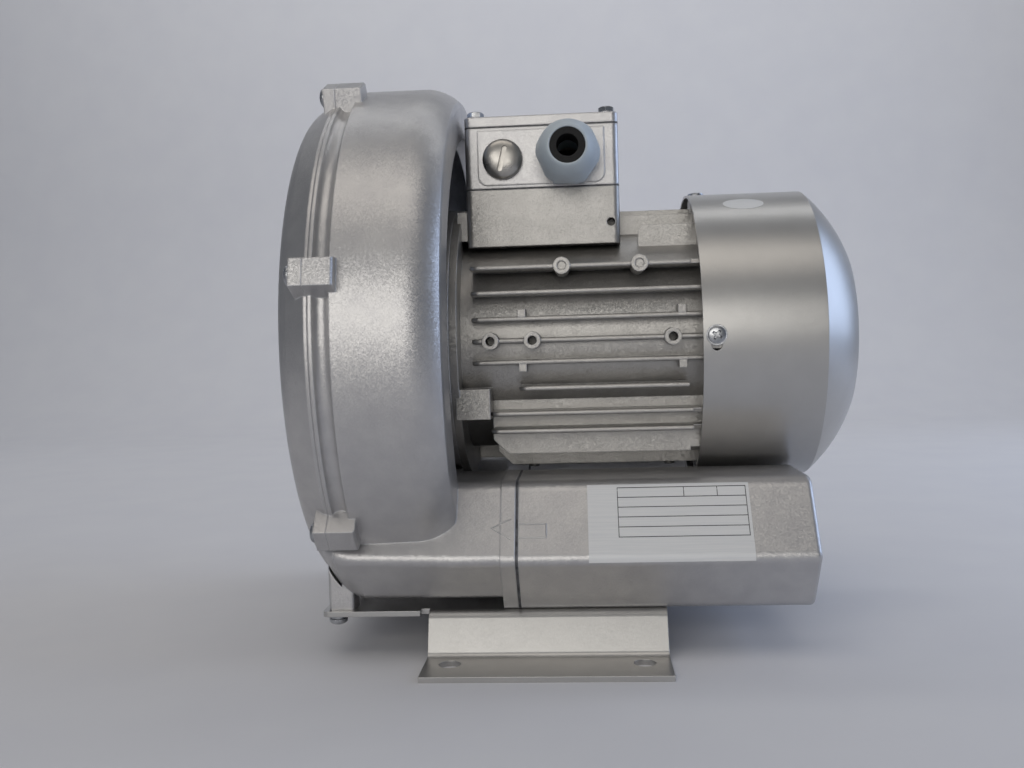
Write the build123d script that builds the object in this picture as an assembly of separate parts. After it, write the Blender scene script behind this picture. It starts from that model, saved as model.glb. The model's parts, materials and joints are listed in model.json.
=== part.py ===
from build123d import *
import math
import os

# A single stage side channel blower with its motor, on a sheet steel foot, in millimetres.
# X runs along the shaft towards the cooling fan, -Y is the side of the cable gland, Z is up.
# The origin is the centre of the four foot holes, on the underside of the foot.

# Blower casing: the cover and the housing meet at the split face
split_x = -92.1
housing_depth = 53.8
casing_radius = 127.9
casing_ground_gap = 12.1
rim_step = 1.7
rim_bead_width = 1.9
rim_groove_width = 7.2
rim_groove_depth = 2.3
edge_break = 0.5
back_round_width = 16.0
back_round_drop = 6.9
back_face_drop = 9.5
back_land_width = 15.4
back_recess_depth = 20.5
back_recess_foot_radius = 78.0
cover_rim_step = 0.6
cover_rim_width = 1.4
cover_shoulder_drop = 5.1
cover_shoulder_depth = 10.2
cover_depth = 15.5
cover_crown_drop = 10.5
cover_crown_width = 18.0
cover_crown_slope = 18.0
cover_centre_depth = 6.4
cover_recess_radius = 34.0
cover_recess_depth = 4.4
spigot_depth = 2.0
spigot_clearance = 0.15

# Side channel and the wheel that runs in it
casing_wall = 6.3
pocket_depth = 26.1
channel_inset = 21.1
channel_half_width = 18.6
housing_channel_depth = 21.5
cover_channel_depth = 11.0
interrupter_half_angle = 17.0
wheel_side_gap = 0.4
wheel_rim_gap = 0.7
wheel_rim_wall = 2.2
wheel_web = 3.6
wheel_disc = 6.0
wheel_hub_radius = 26.0
wheel_hub_recess = 6.0
vane_count = 36
vane_thickness = 2.4

# Screwed lugs round the casing
casing_lug_count = 7
lug_rise = 6.1
lug_width = 11.5
lug_base_width = 19.0
lug_base_depth = 9.9
lug_cover_length = 5.6
lug_housing_length = 12.4
lug_chamfer = 0.8
casing_screw_radius = 2.5
casing_screw_rise = 0.8
casing_screw_head_radius = 4.4
casing_screw_head_height = 2.9

# Ducts, silencers and their threaded ports, each side of the middle plane
joint_x = -12.5
gasket_thickness = 1.2
port_y = 50.0
port_z = 49.0
port_radius = 19.5
duct_bore_radius = 19.0
liner_bore_radius = 20.5
port_thread_length = 18.0
silencer_length = 128.2
silencer_wall = 5.0
silencer_inner_y = 5.0
silencer_bottom_y = 84.0
silencer_ridge_y = 101.0
silencer_ridge_z = 45.7
silencer_top_y = 81.0
silencer_top_z = 77.5
silencer_end_round = 2.4
saddle_clearance = 3.2
liner_clearance = 0.3
duct_margin = 0.3
duct_flange_width = 6.5
duct_bottom_z = 26.0
duct_front_narrowing = 3.0
duct_front_ridge_rise = 0.8
nose_front_x = -99.8
nose_back_x = -81.5
nose_turn_z = 46.0
nose_top_z = 60.0
nose_sagitta = 3.8
nose_section_count = 6
nose_bottom_taper = 6.0
nose_ridge_taper = 8.0
nose_ridge_rise = 6.0
port_bore_depth = 44.0
tie_screw_radius = 2.5
tie_screw_head_radius = 4.25
tie_screw_head_height = 5.0
tie_boss_radius = 6.6
tie_screw_inner_y = 16.0
tie_screw_outer_y = 87.0
tie_screw_inner_z = 50.0
tie_screw_outer_z = 45.0
tie_screw_depth = 12.0

# Foot: one bent sheet with two tongues that reach under the casing
foot_sheet = 2.4
foot_height = 20.9
foot_length = 105.4
foot_top_half_width = 84.8
foot_wall_base_y = 91.5
foot_half_width = 119.4
foot_bend_radius = 4.0
foot_hole_radius = 4.8
foot_hole_spacing_x = 83.0
foot_hole_spacing_y = 205.0
tongue_front_x = -101.0
tongue_inner_y = 58.0
tongue_notch = 4.0
foot_slot_clearance = 3.0
foot_lug_front_x = -98.4
foot_lug_back_x = -86.8
foot_lug_inner_y = 70.0
foot_lug_outer_y = 82.3
foot_lug_cover_clearance = 0.6
foot_screw_radius = 2.2
foot_screw_head_radius = 4.2
foot_screw_head_height = 3.0
foot_screw_length = 11.0
foot_washer_radius = 3.6
foot_washer_thickness = 2.0
front_foot_screw_x = -95.3
front_foot_screw_y = 77.5
rear_foot_screw_x = 26.0
rear_foot_screw_y = 45.0
rear_foot_screw_inset = 4.0

# Motor frame, a finned casting bolted to the back of the blower housing
motor_seat_depth = 4.0
motor_seat_radius = 68.0
motor_seat_bore = 50.0
motor_flange_thickness = 3.8
motor_end_x = 75.0
frame_radius = 54.0
frame_bore = 50.0
fin_thickness = 2.2
fin_start_x = -32.7
low_fin_start_x = -24.7
fin_front_round = 4.0
fin_tip_round = 0.9
fin_reach_y = 61.3
fin_envelope_radius = 69.6
side_fin_offset_low = 10.0
side_fin_offset_mid = 22.2
side_fin_offset_high = 33.8
side_fin_offset_last = 42.0
short_fin_start_x = -11.2
short_fin_end_x = 67.2
bottom_fin_y = 45.0
bottom_fin_drop = 54.0
keel_fin_y = 20.0
keel_fin_drop = 62.0
keel_fin_chamfer = 7.0
keel_post_radius = 2.6
keel_post_drop = 65.5
keel_post_back_x = 62.0
keel_post_front_x = -8.0
top_fin_start_x = 47.0
top_fin_outer_y = 30.0
top_fin_outer_rise = 54.5
top_fin_inner_y = 15.0
top_fin_inner_rise = 61.0
top_fin_middle_rise = 65.0
motor_lug_radius = 63.0
motor_lug_angle = 117.4
motor_lug_start_gap = 2.0
motor_lug_length = 15.8
motor_lug_size = 14.0
motor_screw_radius = 3.0
motor_screw_head_radius = 5.0
motor_screw_head_height = 6.0
motor_screw_length = 32.0
boss_radius = 3.9
boss_reach_y = 63.2
boss_hole_radius = 2.1
boss_hole_depth = 9.0
boss_dimple_depth = 1.2
boss_front_x = -23.7
boss_second_x = -4.3
boss_rear_x = 60.1
upper_boss_front_x = 10.1
upper_boss_rear_x = 45.6
pad_size = 3.6
pad_offset_z = 12.6
pad_front_x = -9.0
pad_rear_x = 64.5

# Motor insides
stator_start_x = -4.0
stator_length = 56.0
stator_clearance = 0.05
stator_bore = 30.2
winding_length = 15.0
winding_inner_radius = 33.0
winding_outer_radius = 46.5
air_gap = 0.4
rotor_end_ring_length = 6.0
rotor_end_ring_inner_radius = 20.0

# Shaft steps, from the wheel to the fan
shaft_wheel_radius = 10.0
shaft_front_radius = 12.5
shaft_core_radius = 15.0
shaft_rear_radius = 10.0
shaft_fan_radius = 8.0
shaft_fan_end_x = 122.0
shaft_end_inset = 0.5
key_width = 6.0
key_height = 6.0
key_length = 14.0
key_clearance = 0.05
wheel_screw_radius = 4.0
wheel_screw_head_radius = 7.0
wheel_screw_head_height = 5.3
wheel_screw_length = 24.0
wheel_washer_radius = 13.0
wheel_washer_thickness = 2.5
fit_clearance = 0.02
running_clearance = 0.08

# Shaft seal and ball bearings
seal_radius = 20.0
seal_width = 7.0
front_bearing_x = -38.0
front_bearing_width = 15.0
front_bearing_radius = 26.0
rear_bearing_x = 68.0
rear_bearing_width = 14.0
rear_bearing_radius = 23.5
ball_radius = 3.95
ball_gap = 0.1
race_wall = 3.1
front_ball_count = 9
rear_ball_count = 8
cage_half_width = 5.2
cage_half_height = 1.3
cage_gap = 0.15
hub_wall = 5.5
spring_thickness = 0.9
spring_length = 2.0

# Rear end shield, fan and fan cover
shield_flange_thickness = 4.0
shield_flange_radius = 63.0
shield_spigot_length = 4.0
shield_wall = 3.5
shield_shaft_gap = 1.0
shield_screw_circle = 54.2
shield_screw_angle = 26.0
shield_screw_radius = 2.0
shield_screw_head_radius = 3.5
shield_screw_head_height = 3.5
shield_screw_length = 22.0
shield_boss_radius = 4.3
shield_rib_count = 8
shield_boss_length = 26.0
cover_post_width = 12.0
cover_post_length = 9.0
cover_post_gap = 0.25
fan_cover_start_x = 72.6
fan_cover_radius = 71.3
fan_cover_corner_x = 127.6
fan_cover_end_x = 147.4
fan_cover_end_radius = 45.5
fan_cover_bulge = 1.8
fan_cover_sheet = 1.2
fan_cover_slot_drop = 4.5
fan_screw_x = 78.5
fan_screw_radius = 2.0
fan_screw_head_radius = 4.0
fan_screw_head_height = 1.3
fan_screw_length = 9.0
fan_washer_radius = 4.7
fan_washer_thickness = 0.4
grille_ring_count = 4
grille_first_radius = 9.0
grille_pitch = 8.4
grille_slot_width = 5.4
grille_spoke_count = 6
grille_spoke_width = 4.0
fan_start_x = 97.0
fan_hub_radius = 14.0
fan_hub_length = 22.0
fan_plate_thickness = 2.4
fan_radius = 61.0
fan_blade_count = 8
fan_blade_thickness = 2.2
fan_blade_start_radius = 24.0
fan_blade_length = 19.0
fan_blade_slope = 6.0
fan_clip_thickness = 1.0
fan_clip_radius = 11.0

# Terminal box on top of the motor frame
box_start_x = -35.4
box_end_x = 38.3
box_half_width = 38.5
box_corner_radius = 3.0
base_bottom_rise = 45.7
base_top_rise = 72.8
base_wall = 7.5
base_floor_rise = 56.0
base_cable_hole_radius = 9.0
drain_hole_x = 34.0
drain_hole_rise = 55.7
drain_hole_radius = 2.0
drain_hole_depth = 7.0
box_gasket = 0.8
box_height = 28.8
box_wall = 4.0
box_boss_radius = 4.6
lid_thickness = 4.8
lid_screw_inset_x = 5.2
lid_screw_inset_y = 6.0
lid_screw_radius = 2.0
lid_screw_head_radius = 3.9
lid_screw_head_height = 3.2
lid_screw_length = 44.0
panel_start_x = -29.0
panel_end_x = 31.5
panel_bottom_inset = 1.4
panel_top_inset = 1.4
panel_raise = 0.7
panel_corner_radius = 4.5
entry_height = 13.4

# Cable gland, blanking plug and the terminals inside
gland_x = 14.3
gland_thread_radius = 10.0
gland_bore = 6.5
gland_hex_flat = 25.0
gland_hex_length = 8.5
gland_neck_radius = 11.0
gland_neck_length = 11.0
gland_neck_bore = 8.6
gland_nut_flat = 26.5
gland_nut_hex_length = 9.0
gland_nut_length = 21.5
gland_nut_gap = 1.2
gland_dome_radius = 9.6
gland_opening_radius = 8.1
gland_seal_length = 15.0
gland_seal_hole_radius = 5.0
locknut_flat = 24.0
locknut_length = 5.0
plug_x = -17.1
plug_thread_radius = 8.0
plug_thread_length = 9.0
plug_head_radius = 9.6
plug_head_height = 4.3
plug_rim_height = 0.8
plug_slot_width = 2.4
plug_slot_length = 12.5
plug_slot_depth = 2.2
plug_slot_angle = 14.0
plug_ring_radius = 9.2
plug_ring_thickness = 1.0
board_length = 48.0
board_screw_inset = 3.8
board_width = 30.0
board_thickness = 5.0
board_x = 4.0
board_rib_height = 5.0
board_rib_width = 1.6
stud_radius = 2.0
stud_length = 13.0
stud_pitch_x = 13.0
stud_pitch_y = 16.0
nut_flat = 7.0
nut_height = 3.2
link_thickness = 1.0
link_width = 7.0
earth_screw_x = -22.0
earth_screw_y = 22.0
earth_screw_radius = 2.0
earth_screw_head_radius = 3.5
earth_screw_head_height = 2.4
earth_screw_depth = 5.0

# Places that follow from the sizes above
shaft_height = casing_radius + casing_ground_gap
rim_radius = casing_radius - rim_step
back_face_radius = casing_radius - back_face_drop
back_recess_radius = back_face_radius - back_land_width
cover_rim_radius = rim_radius - cover_rim_step
cover_shoulder_radius = cover_rim_radius - cover_shoulder_drop
cover_crown_outer_radius = cover_shoulder_radius - cover_crown_drop
cover_crown_inner_radius = cover_crown_outer_radius - cover_crown_width
cover_centre_radius = cover_crown_inner_radius - cover_crown_slope
pocket_radius = casing_radius - casing_wall
channel_radius = pocket_radius - channel_inset
lug_radius = casing_radius + lug_rise
lug_base_radius = casing_radius - lug_base_depth
casing_screw_circle = casing_radius + casing_screw_rise
casing_back_x = split_x + housing_depth
pocket_back_x = split_x + pocket_depth
plate_back_x = casing_back_x - back_recess_depth
motor_seat_x = casing_back_x - motor_seat_depth
flange_back_x = motor_seat_x + motor_flange_thickness
spigot_face_x = split_x + spigot_depth
cover_front_x = split_x - cover_depth
wheel_front_x = spigot_face_x + wheel_side_gap
wheel_back_x = pocket_back_x - wheel_side_gap
wheel_radius = pocket_radius - wheel_rim_gap
wheel_hub_front_x = wheel_front_x + wheel_hub_recess
wheel_washer_x = wheel_hub_front_x - wheel_washer_thickness
wheel_screw_x = wheel_washer_x - wheel_screw_head_height
shaft_front_x = wheel_hub_front_x + shaft_end_inset
stator_end_x = stator_start_x + stator_length
rotor_radius = stator_bore - air_gap
front_bearing_end_x = front_bearing_x + front_bearing_width
rear_bearing_end_x = rear_bearing_x + rear_bearing_width
shield_flange_x = motor_end_x + shield_flange_thickness
shield_end_x = rear_bearing_end_x + spring_length + shield_wall
silencer_end_x = joint_x + gasket_thickness + silencer_length
duct_ridge_y = silencer_ridge_y - duct_front_narrowing
duct_ridge_z = silencer_ridge_z + duct_front_ridge_rise
foot_top_z = foot_height
foot_start_x = -foot_length / 2
bottom_fin_z = shaft_height - bottom_fin_drop
keel_fin_z = shaft_height - keel_fin_drop
keel_post_z = shaft_height - keel_post_drop
top_fin_outer_z = shaft_height + top_fin_outer_rise
top_fin_inner_z = shaft_height + top_fin_inner_rise
top_fin_middle_z = shaft_height + top_fin_middle_rise
base_bottom_z = shaft_height + base_bottom_rise
base_top_z = shaft_height + base_top_rise
base_floor_z = shaft_height + base_floor_rise
drain_hole_z = shaft_height + drain_hole_rise
gasket_z = base_top_z + box_gasket
lid_z = gasket_z + box_height + box_gasket
lid_top_z = lid_z + lid_thickness
box_z = gasket_z
box_top_z = box_z + box_height
entry_z = box_z + entry_height
board_z = base_floor_z
stud_base_z = board_z + board_thickness


def block(x_range, y_range, z_range):
    # A box between its low and high faces along X, Y and Z.
    middle = [sum(limits) / 2 for limits in (x_range, y_range, z_range)]
    sizes = [limits[1] - limits[0] for limits in (x_range, y_range, z_range)]
    return Pos(*middle) * Box(*sizes)


def rod(start, end, radius):
    # A round bar from one point to another.
    run = Vector(*end) - Vector(*start)
    return extrude(Plane(origin=start, z_dir=run) * Circle(radius), run.length)


def prism(start, end, flat):
    # A hexagonal bar, its width across flats given.
    run = Vector(*end) - Vector(*start)
    corner_way = (0, 0, 1) if abs(run.X) > 0 else (1, 0, 0)
    base = Plane(origin=start, x_dir=corner_way, z_dir=run)
    return extrude(base * RegularPolygon(flat / 2, 6, major_radius=False), run.length)


def ring(start_x, end_x, outer_radius, inner_radius=0.0):
    # A ring or disc on the shaft line.
    body = rod((start_x, 0, shaft_height), (end_x, 0, shaft_height), outer_radius)
    if inner_radius > 0:
        body -= rod((start_x, 0, shaft_height), (end_x, 0, shaft_height), inner_radius)
    return body


def turned(outline, arc=360.0):
    # A closed outline of X and radius, turned about the shaft line.
    section = Plane.XZ * make_face(outline)
    return Pos(0, 0, shaft_height) * revolve(section, Axis.X, arc)


def around_shaft(piece, angle):
    # A piece drawn above the shaft line, carried round it from the top towards -Y.
    return Pos(0, 0, shaft_height) * Rot(X=angle) * Pos(0, 0, -shaft_height) * piece


def both_sides(piece):
    # A piece drawn on the +Y side, with its mirror image on the -Y side.
    return [piece, mirror(piece, Plane.XZ)]


def solids_of(*pieces):
    # The pieces of one node, kept as separate solids.
    found = []
    for piece in pieces:
        found += piece.solids()
    return Compound(found)


def pan_screw(seat, tip, radius, head_radius, head_height):
    # A screw with a low domed head that sits on its seat; the tip gives its direction.
    run = Vector(*tip) - Vector(*seat)
    side_height = head_height * 0.35
    crown_radius = head_radius * 0.4
    dome = ThreePointArc(
        (head_radius, side_height), (head_radius * 0.8, head_height * 0.82), (crown_radius, head_height)
    )
    sides = Polyline(
        (crown_radius, head_height), (0, head_height), (0, 0), (head_radius, 0), (head_radius, side_height)
    )
    head = revolve(Plane.XZ * make_face(dome + sides), Axis.Z)
    return Plane(origin=seat, z_dir=-run) * head + rod(seat, tip, radius)


def cap_screw(seat, tip, radius, head_radius, head_height):
    # A cylinder head screw with a hexagon socket.
    run = Vector(*tip) - Vector(*seat)
    back = run.normalized() * -head_height
    top = Vector(*seat) + back
    body = rod(seat, tip, radius) + rod(seat, tuple(top), head_radius)
    return body - prism(tuple(top), tuple(top - back * 0.5), radius * 1.6)


def lug_angles():
    # One lug is at the very bottom of the casing.
    return [180.0 - 360.0 * number / casing_lug_count for number in range(casing_lug_count)]


def quarter_angles(first=0.0):
    return [first + 90.0 * number for number in range(4)]


def half_round(face_x, depth, half_width):
    # Half an ellipse that opens at a face of the channel; its depth is negative towards the cover.
    first_angle = -90.0 if depth > 0 else 90.0
    arc = EllipticalCenterArc(
        (face_x, channel_radius), abs(depth), half_width, start_angle=first_angle, arc_size=180.0
    )
    return arc + Line(arc @ 1, arc @ 0)


def channel_ring(start_x, depth):
    # The side channel of one casing half, open over all but the interrupter between the ports.
    opening = 360.0 - 2 * interrupter_half_angle
    channel = turned(half_round(start_x, depth, channel_half_width), opening)
    return around_shaft(channel, 180.0 + interrupter_half_angle)


def lug_wedge(start_x, end_x):
    # The drafted outline that trims each lug, wider at the casing than outside.
    sides = Polyline(
        (-lug_base_width / 2, shaft_height + lug_base_radius),
        (lug_base_width / 2, shaft_height + lug_base_radius),
        (lug_width / 2, shaft_height + lug_radius),
        (-lug_width / 2, shaft_height + lug_radius),
        close=True,
    )
    return extrude(Plane.YZ.offset(start_x) * make_face(sides), end_x - start_x)


def silencer_section(margin=0.0, bottom_z=None):
    # The outline of a duct or silencer across X, on the +Y side, grown by a margin.
    low = foot_top_z if bottom_z is None else bottom_z
    points = (
        (silencer_inner_y - margin, low),
        (silencer_bottom_y, low),
        (silencer_ridge_y + margin, silencer_ridge_z),
        (silencer_top_y + margin, silencer_top_z + margin),
        (silencer_inner_y - margin, silencer_top_z + margin),
    )
    return make_face(FilletPolyline(*points, radius=[3.0, 6.0, 5.0, 9.0, 3.0], close=True))


def nose_underside(drop=0.0):
    # The rounded underside of a duct's nose, seen across the shaft, from its front to its back.
    front = (nose_front_x, nose_turn_z - drop)
    back = (nose_back_x, duct_bottom_z - drop)
    return SagittaArc(front, back, -nose_sagitta)


def nose_section(share):
    # The duct's outline across X, from the back of the nose at 0 to its front at 1.
    place = nose_underside() @ (1 - share)
    bottom_y = silencer_bottom_y - nose_bottom_taper * share
    ridge_y = duct_ridge_y - nose_ridge_taper * share**2.5
    top_y = silencer_top_y - duct_front_narrowing - nose_bottom_taper * share
    points = (
        (silencer_inner_y, place.Y),
        (bottom_y, place.Y),
        (ridge_y, duct_ridge_z + nose_ridge_rise * share**2.5),
        (top_y, silencer_top_z),
        (silencer_inner_y, silencer_top_z),
    )
    outline = make_face(FilletPolyline(*points, radius=[3.0, 6.0, 5.0, 9.0, 3.0], close=True))
    return Plane.YZ.offset(place.X) * outline


def saddle(start_x, end_x):
    # The round hollow along the tops of ducts and silencers, under the motor and its fan cover.
    return ring(start_x, end_x, fan_cover_radius + saddle_clearance)


def casing_duct():
    # One duct of the casing, from its nose in front to the flange of its silencer.
    shares = [number / (nose_section_count - 1) for number in range(nose_section_count)]
    nose = loft([nose_section(share) for share in reversed(shares)])
    section = silencer_section(0.0, duct_bottom_z)
    under = loft([nose_section(0.0), Plane.YZ.offset(casing_back_x) * section], ruled=True)
    run = extrude(Plane.YZ.offset(casing_back_x) * section, joint_x - casing_back_x)
    flange_x = joint_x - duct_flange_width
    flange = extrude(Plane.YZ.offset(flange_x) * silencer_section(duct_margin), duct_flange_width)
    return nose + under + run + flange


def ahead_of_split():
    # The space that belongs to the cover's side of the split face.
    reach = 2 * shaft_height
    return block((split_x - reach, split_x), (-reach, reach), (0, reach))


def housing_blank():
    # The housing's outer skin with its bead, groove, round shoulder and hollow back.
    groove_start = split_x + rim_bead_width
    groove_end = groove_start + rim_groove_width
    groove_middle = (groove_start + groove_end) / 2
    round_end = casing_back_x - edge_break
    round_start = round_end - back_round_width
    front = Polyline(
        (motor_seat_x, 0),
        (split_x, 0),
        (split_x, rim_radius - edge_break),
        (split_x + edge_break, rim_radius),
        (groove_start, rim_radius),
    )
    groove = ThreePointArc(
        (groove_start, rim_radius),
        (groove_middle, rim_radius - rim_groove_depth),
        (groove_end, rim_radius - edge_break),
    )
    barrel = Polyline(
        (groove_end, rim_radius - edge_break),
        (groove_end, casing_radius - edge_break),
        (groove_end + edge_break, casing_radius),
        (round_start, casing_radius),
    )
    shoulder = TangentArc(
        (round_start, casing_radius), (round_end, casing_radius - back_round_drop), tangent=(1, 0)
    )
    back = Polyline(
        (round_end, casing_radius - back_round_drop),
        (casing_back_x, back_face_radius),
        (casing_back_x, back_recess_radius),
    )
    hollow = TangentArc(
        (casing_back_x, back_recess_radius), (plate_back_x, back_recess_foot_radius), tangent=(-1, -0.2)
    )
    seat = Polyline(
        (plate_back_x, back_recess_foot_radius),
        (plate_back_x, motor_seat_radius),
        (motor_seat_x, motor_seat_radius),
        (motor_seat_x, 0),
    )
    return turned(front + groove + barrel + shoulder + back + hollow + seat)


def housing_lug():
    # One lug of the housing, chamfered at the back, drawn at the top of the casing.
    end_x = split_x + lug_housing_length
    side = Polyline(
        (split_x, shaft_height + lug_base_radius),
        (split_x, shaft_height + lug_radius),
        (end_x - lug_chamfer, shaft_height + lug_radius),
        (end_x, shaft_height + lug_radius - lug_chamfer),
        (end_x, shaft_height + lug_base_radius),
        close=True,
    )
    slab = extrude(Plane.XZ * make_face(side), lug_base_width / 2, both=True)
    return slab & lug_wedge(split_x, end_x)


def foot_lug():
    # The lug under the casing that stands on a tongue of the foot, reaching below the cover.
    block_shape = block(
        (foot_lug_front_x, foot_lug_back_x),
        (foot_lug_inner_y, foot_lug_outer_y),
        (foot_top_z, shaft_height - casing_radius * 0.7),
    )
    block_shape = fillet(block_shape.edges().filter_by(Axis.Z), 1.5)
    clear_radius = cover_rim_radius + foot_lug_cover_clearance
    block_shape -= ring(split_x - lug_housing_length, split_x, clear_radius)
    # In front of the split the lug stays just below the cover's nose
    underside = nose_underside(foot_lug_cover_clearance)
    above = Polyline(
        underside @ 1, (nose_back_x, silencer_top_z), (nose_front_x, silencer_top_z), underside @ 0
    )
    nose_room = extrude(Plane.XZ * make_face(underside + above), -foot_half_width)
    return block_shape - (nose_room & ahead_of_split())


def shield_screw_angles():
    # The end shield's screws hide behind the fins, close to the top and the bottom.
    return [half + side * shield_screw_angle for half in (0.0, 180.0) for side in (-1, 1)]


def motor_screw_places():
    # The four screws that hold the motor frame, as points around the shaft line.
    return [
        (
            -motor_lug_radius * math.sin(math.radians(angle)),
            shaft_height + motor_lug_radius * math.cos(math.radians(angle)),
        )
        for angle in quarter_angles(motor_lug_angle)
    ]


def make_blower_housing():
    body = housing_blank()
    body += both_sides(casing_duct() - ahead_of_split()) + both_sides(foot_lug())
    body += [around_shaft(housing_lug(), angle) for angle in lug_angles()]
    # The wheel's pocket, the side channel and the two port bores that open into it
    body -= ring(split_x, pocket_back_x, pocket_radius)
    body -= channel_ring(pocket_back_x, housing_channel_depth)
    bore = rod((joint_x - port_bore_depth, port_y, port_z), (joint_x, port_y, port_z), duct_bore_radius)
    body -= both_sides(bore)
    body -= saddle(motor_seat_x, joint_x)
    # The hollow behind the back plate, with the seat of the shaft seal
    body -= ring(plate_back_x, motor_seat_x, motor_seat_bore)
    body -= ring(plate_back_x - seal_width, plate_back_x, seal_radius)
    body -= ring(pocket_back_x, plate_back_x, shaft_front_radius + shield_shaft_gap)
    screw_hole = rod(
        (split_x, 0, shaft_height + casing_screw_circle),
        (casing_screw_tip_x(), 0, shaft_height + casing_screw_circle),
        casing_screw_radius,
    )
    body -= [around_shaft(screw_hole, angle) for angle in lug_angles()]
    for y, z in motor_screw_places():
        head_hole_radius = motor_screw_head_radius + fit_clearance
        body -= rod((pocket_back_x, y, z), (motor_seat_x, y, z), motor_screw_radius)
        body -= rod((pocket_back_x, y, z), (motor_screw_seat_x(), y, z), head_hole_radius)
    for y, z in tie_screw_places():
        hole = rod((joint_x - tie_screw_depth, y, z), (joint_x, y, z), tie_screw_radius)
        body -= both_sides(hole)
    hole = rod(
        (front_foot_screw_x, front_foot_screw_y, foot_top_z),
        (front_foot_screw_x, front_foot_screw_y, foot_screw_tip_z()),
        foot_screw_radius,
    )
    return body - both_sides(hole)


def motor_screw_seat_x():
    # The screw heads are sunk so far that the wheel runs clear of them.
    return pocket_back_x + motor_screw_head_height + wheel_side_gap


def tie_screw_places():
    return [(tie_screw_inner_y, tie_screw_inner_z), (tie_screw_outer_y, tie_screw_outer_z)]


def casing_screw_tip_x():
    # The holes are blind, so that no tip shows behind the lugs.
    return split_x + lug_housing_length - casing_screw_radius


def foot_screw_tip_z():
    return foot_top_z - foot_sheet + foot_screw_length


def make_blower_cover():
    shoulder_x = split_x - cover_shoulder_depth
    centre_x = split_x - cover_centre_depth
    skin = Polyline(
        (spigot_face_x, 0),
        (spigot_face_x, pocket_radius - spigot_clearance),
        (split_x, pocket_radius - spigot_clearance),
        (split_x, cover_rim_radius),
        (split_x - cover_rim_width, cover_rim_radius),
        (shoulder_x, cover_shoulder_radius),
    )
    outer_crown = ThreePointArc(
        (shoulder_x, cover_shoulder_radius),
        (cover_front_x + 1.4, (cover_shoulder_radius + cover_crown_outer_radius) / 2 + 1.5),
        (cover_front_x, cover_crown_outer_radius),
    )
    inner_crown = Spline(
        (cover_front_x, cover_crown_inner_radius),
        (centre_x, cover_centre_radius),
        tangents=((0, -1), (0, -1)),
    )
    crown = Line((cover_front_x, cover_crown_outer_radius), (cover_front_x, cover_crown_inner_radius))
    centre = Polyline((centre_x, cover_centre_radius), (centre_x, 0), (spigot_face_x, 0))
    body = turned(skin + outer_crown + crown + inner_crown + centre)
    # The ducts' noses stay clear of the dished middle of the cover
    nose_room = block((nose_front_x, split_x), (tongue_inner_y, foot_half_width), (0, nose_top_z))
    body += both_sides(casing_duct() & nose_room)
    lug = block(
        (split_x - lug_cover_length, split_x),
        (-lug_base_width / 2, lug_base_width / 2),
        (shaft_height + lug_base_radius, shaft_height + lug_radius),
    ) & lug_wedge(split_x - lug_cover_length, split_x)
    body += [around_shaft(lug, angle) for angle in lug_angles()]
    body -= channel_ring(spigot_face_x, -cover_channel_depth)
    body -= ring(spigot_face_x - cover_recess_depth, spigot_face_x, cover_recess_radius)
    hole = rod(
        (split_x - lug_cover_length, 0, shaft_height + casing_screw_circle),
        (split_x, 0, shaft_height + casing_screw_circle),
        casing_screw_radius,
    )
    return body - [around_shaft(hole, angle) for angle in lug_angles()]


def make_casing_screws():
    seat = (split_x - lug_cover_length, 0, shaft_height + casing_screw_circle)
    tip = (casing_screw_tip_x(), 0, shaft_height + casing_screw_circle)
    screw = pan_screw(seat, tip, casing_screw_radius, casing_screw_head_radius, casing_screw_head_height)
    return solids_of(*[around_shaft(screw, angle) for angle in lug_angles()])


def wheel_pocket(face_x, floor_x):
    # The ring between the vanes on one side of the wheel, hollowed to a half round.
    half_width = wheel_radius - wheel_rim_wall - channel_radius
    return turned(half_round(face_x, floor_x - face_x, half_width))


def make_impeller():
    middle_x = (wheel_front_x + wheel_back_x) / 2
    rim_foot = 2 * channel_radius - wheel_radius
    body = ring(wheel_front_x, wheel_back_x, wheel_radius, rim_foot)
    body += ring(middle_x - wheel_disc / 2, middle_x + wheel_disc / 2, rim_foot + edge_break)
    body += ring(wheel_hub_front_x, wheel_back_x, wheel_hub_radius)
    vane = block(
        (wheel_front_x, wheel_back_x),
        (-vane_thickness / 2, vane_thickness / 2),
        (shaft_height + rim_foot, shaft_height + wheel_radius),
    )
    vanes = [around_shaft(vane, 360.0 * number / vane_count) for number in range(vane_count)]
    pockets = wheel_pocket(wheel_front_x, middle_x - wheel_web / 2)
    pockets += wheel_pocket(wheel_back_x, middle_x + wheel_web / 2)
    body -= pockets - vanes
    body -= ring(wheel_front_x, wheel_back_x, shaft_wheel_radius + fit_clearance)
    return body - key_block(wheel_hub_front_x, wheel_back_x, key_clearance)


def key_block(start_x, end_x, clearance=0.0):
    # The key, or the way cut for it, stands half in the shaft and half in the wheel's hub.
    middle_z = shaft_height + shaft_wheel_radius
    half_width = key_width / 2 + clearance
    half_height = key_height / 2
    return block(
        (start_x, end_x),
        (-half_width, half_width),
        (middle_z - half_height, middle_z + half_height + clearance),
    )


def make_impeller_key():
    middle_x = (wheel_hub_front_x + wheel_back_x) / 2
    return key_block(middle_x - key_length / 2, middle_x + key_length / 2)


def make_impeller_washer():
    return ring(wheel_washer_x, wheel_hub_front_x, wheel_washer_radius, wheel_screw_radius + fit_clearance)


def make_impeller_screw():
    seat = (wheel_washer_x, 0, shaft_height)
    tip = (wheel_washer_x + wheel_screw_length, 0, shaft_height)
    head = prism(seat, (wheel_screw_x, 0, shaft_height), wheel_screw_head_radius * 1.86)
    return head + rod(seat, tip, wheel_screw_radius)


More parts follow.
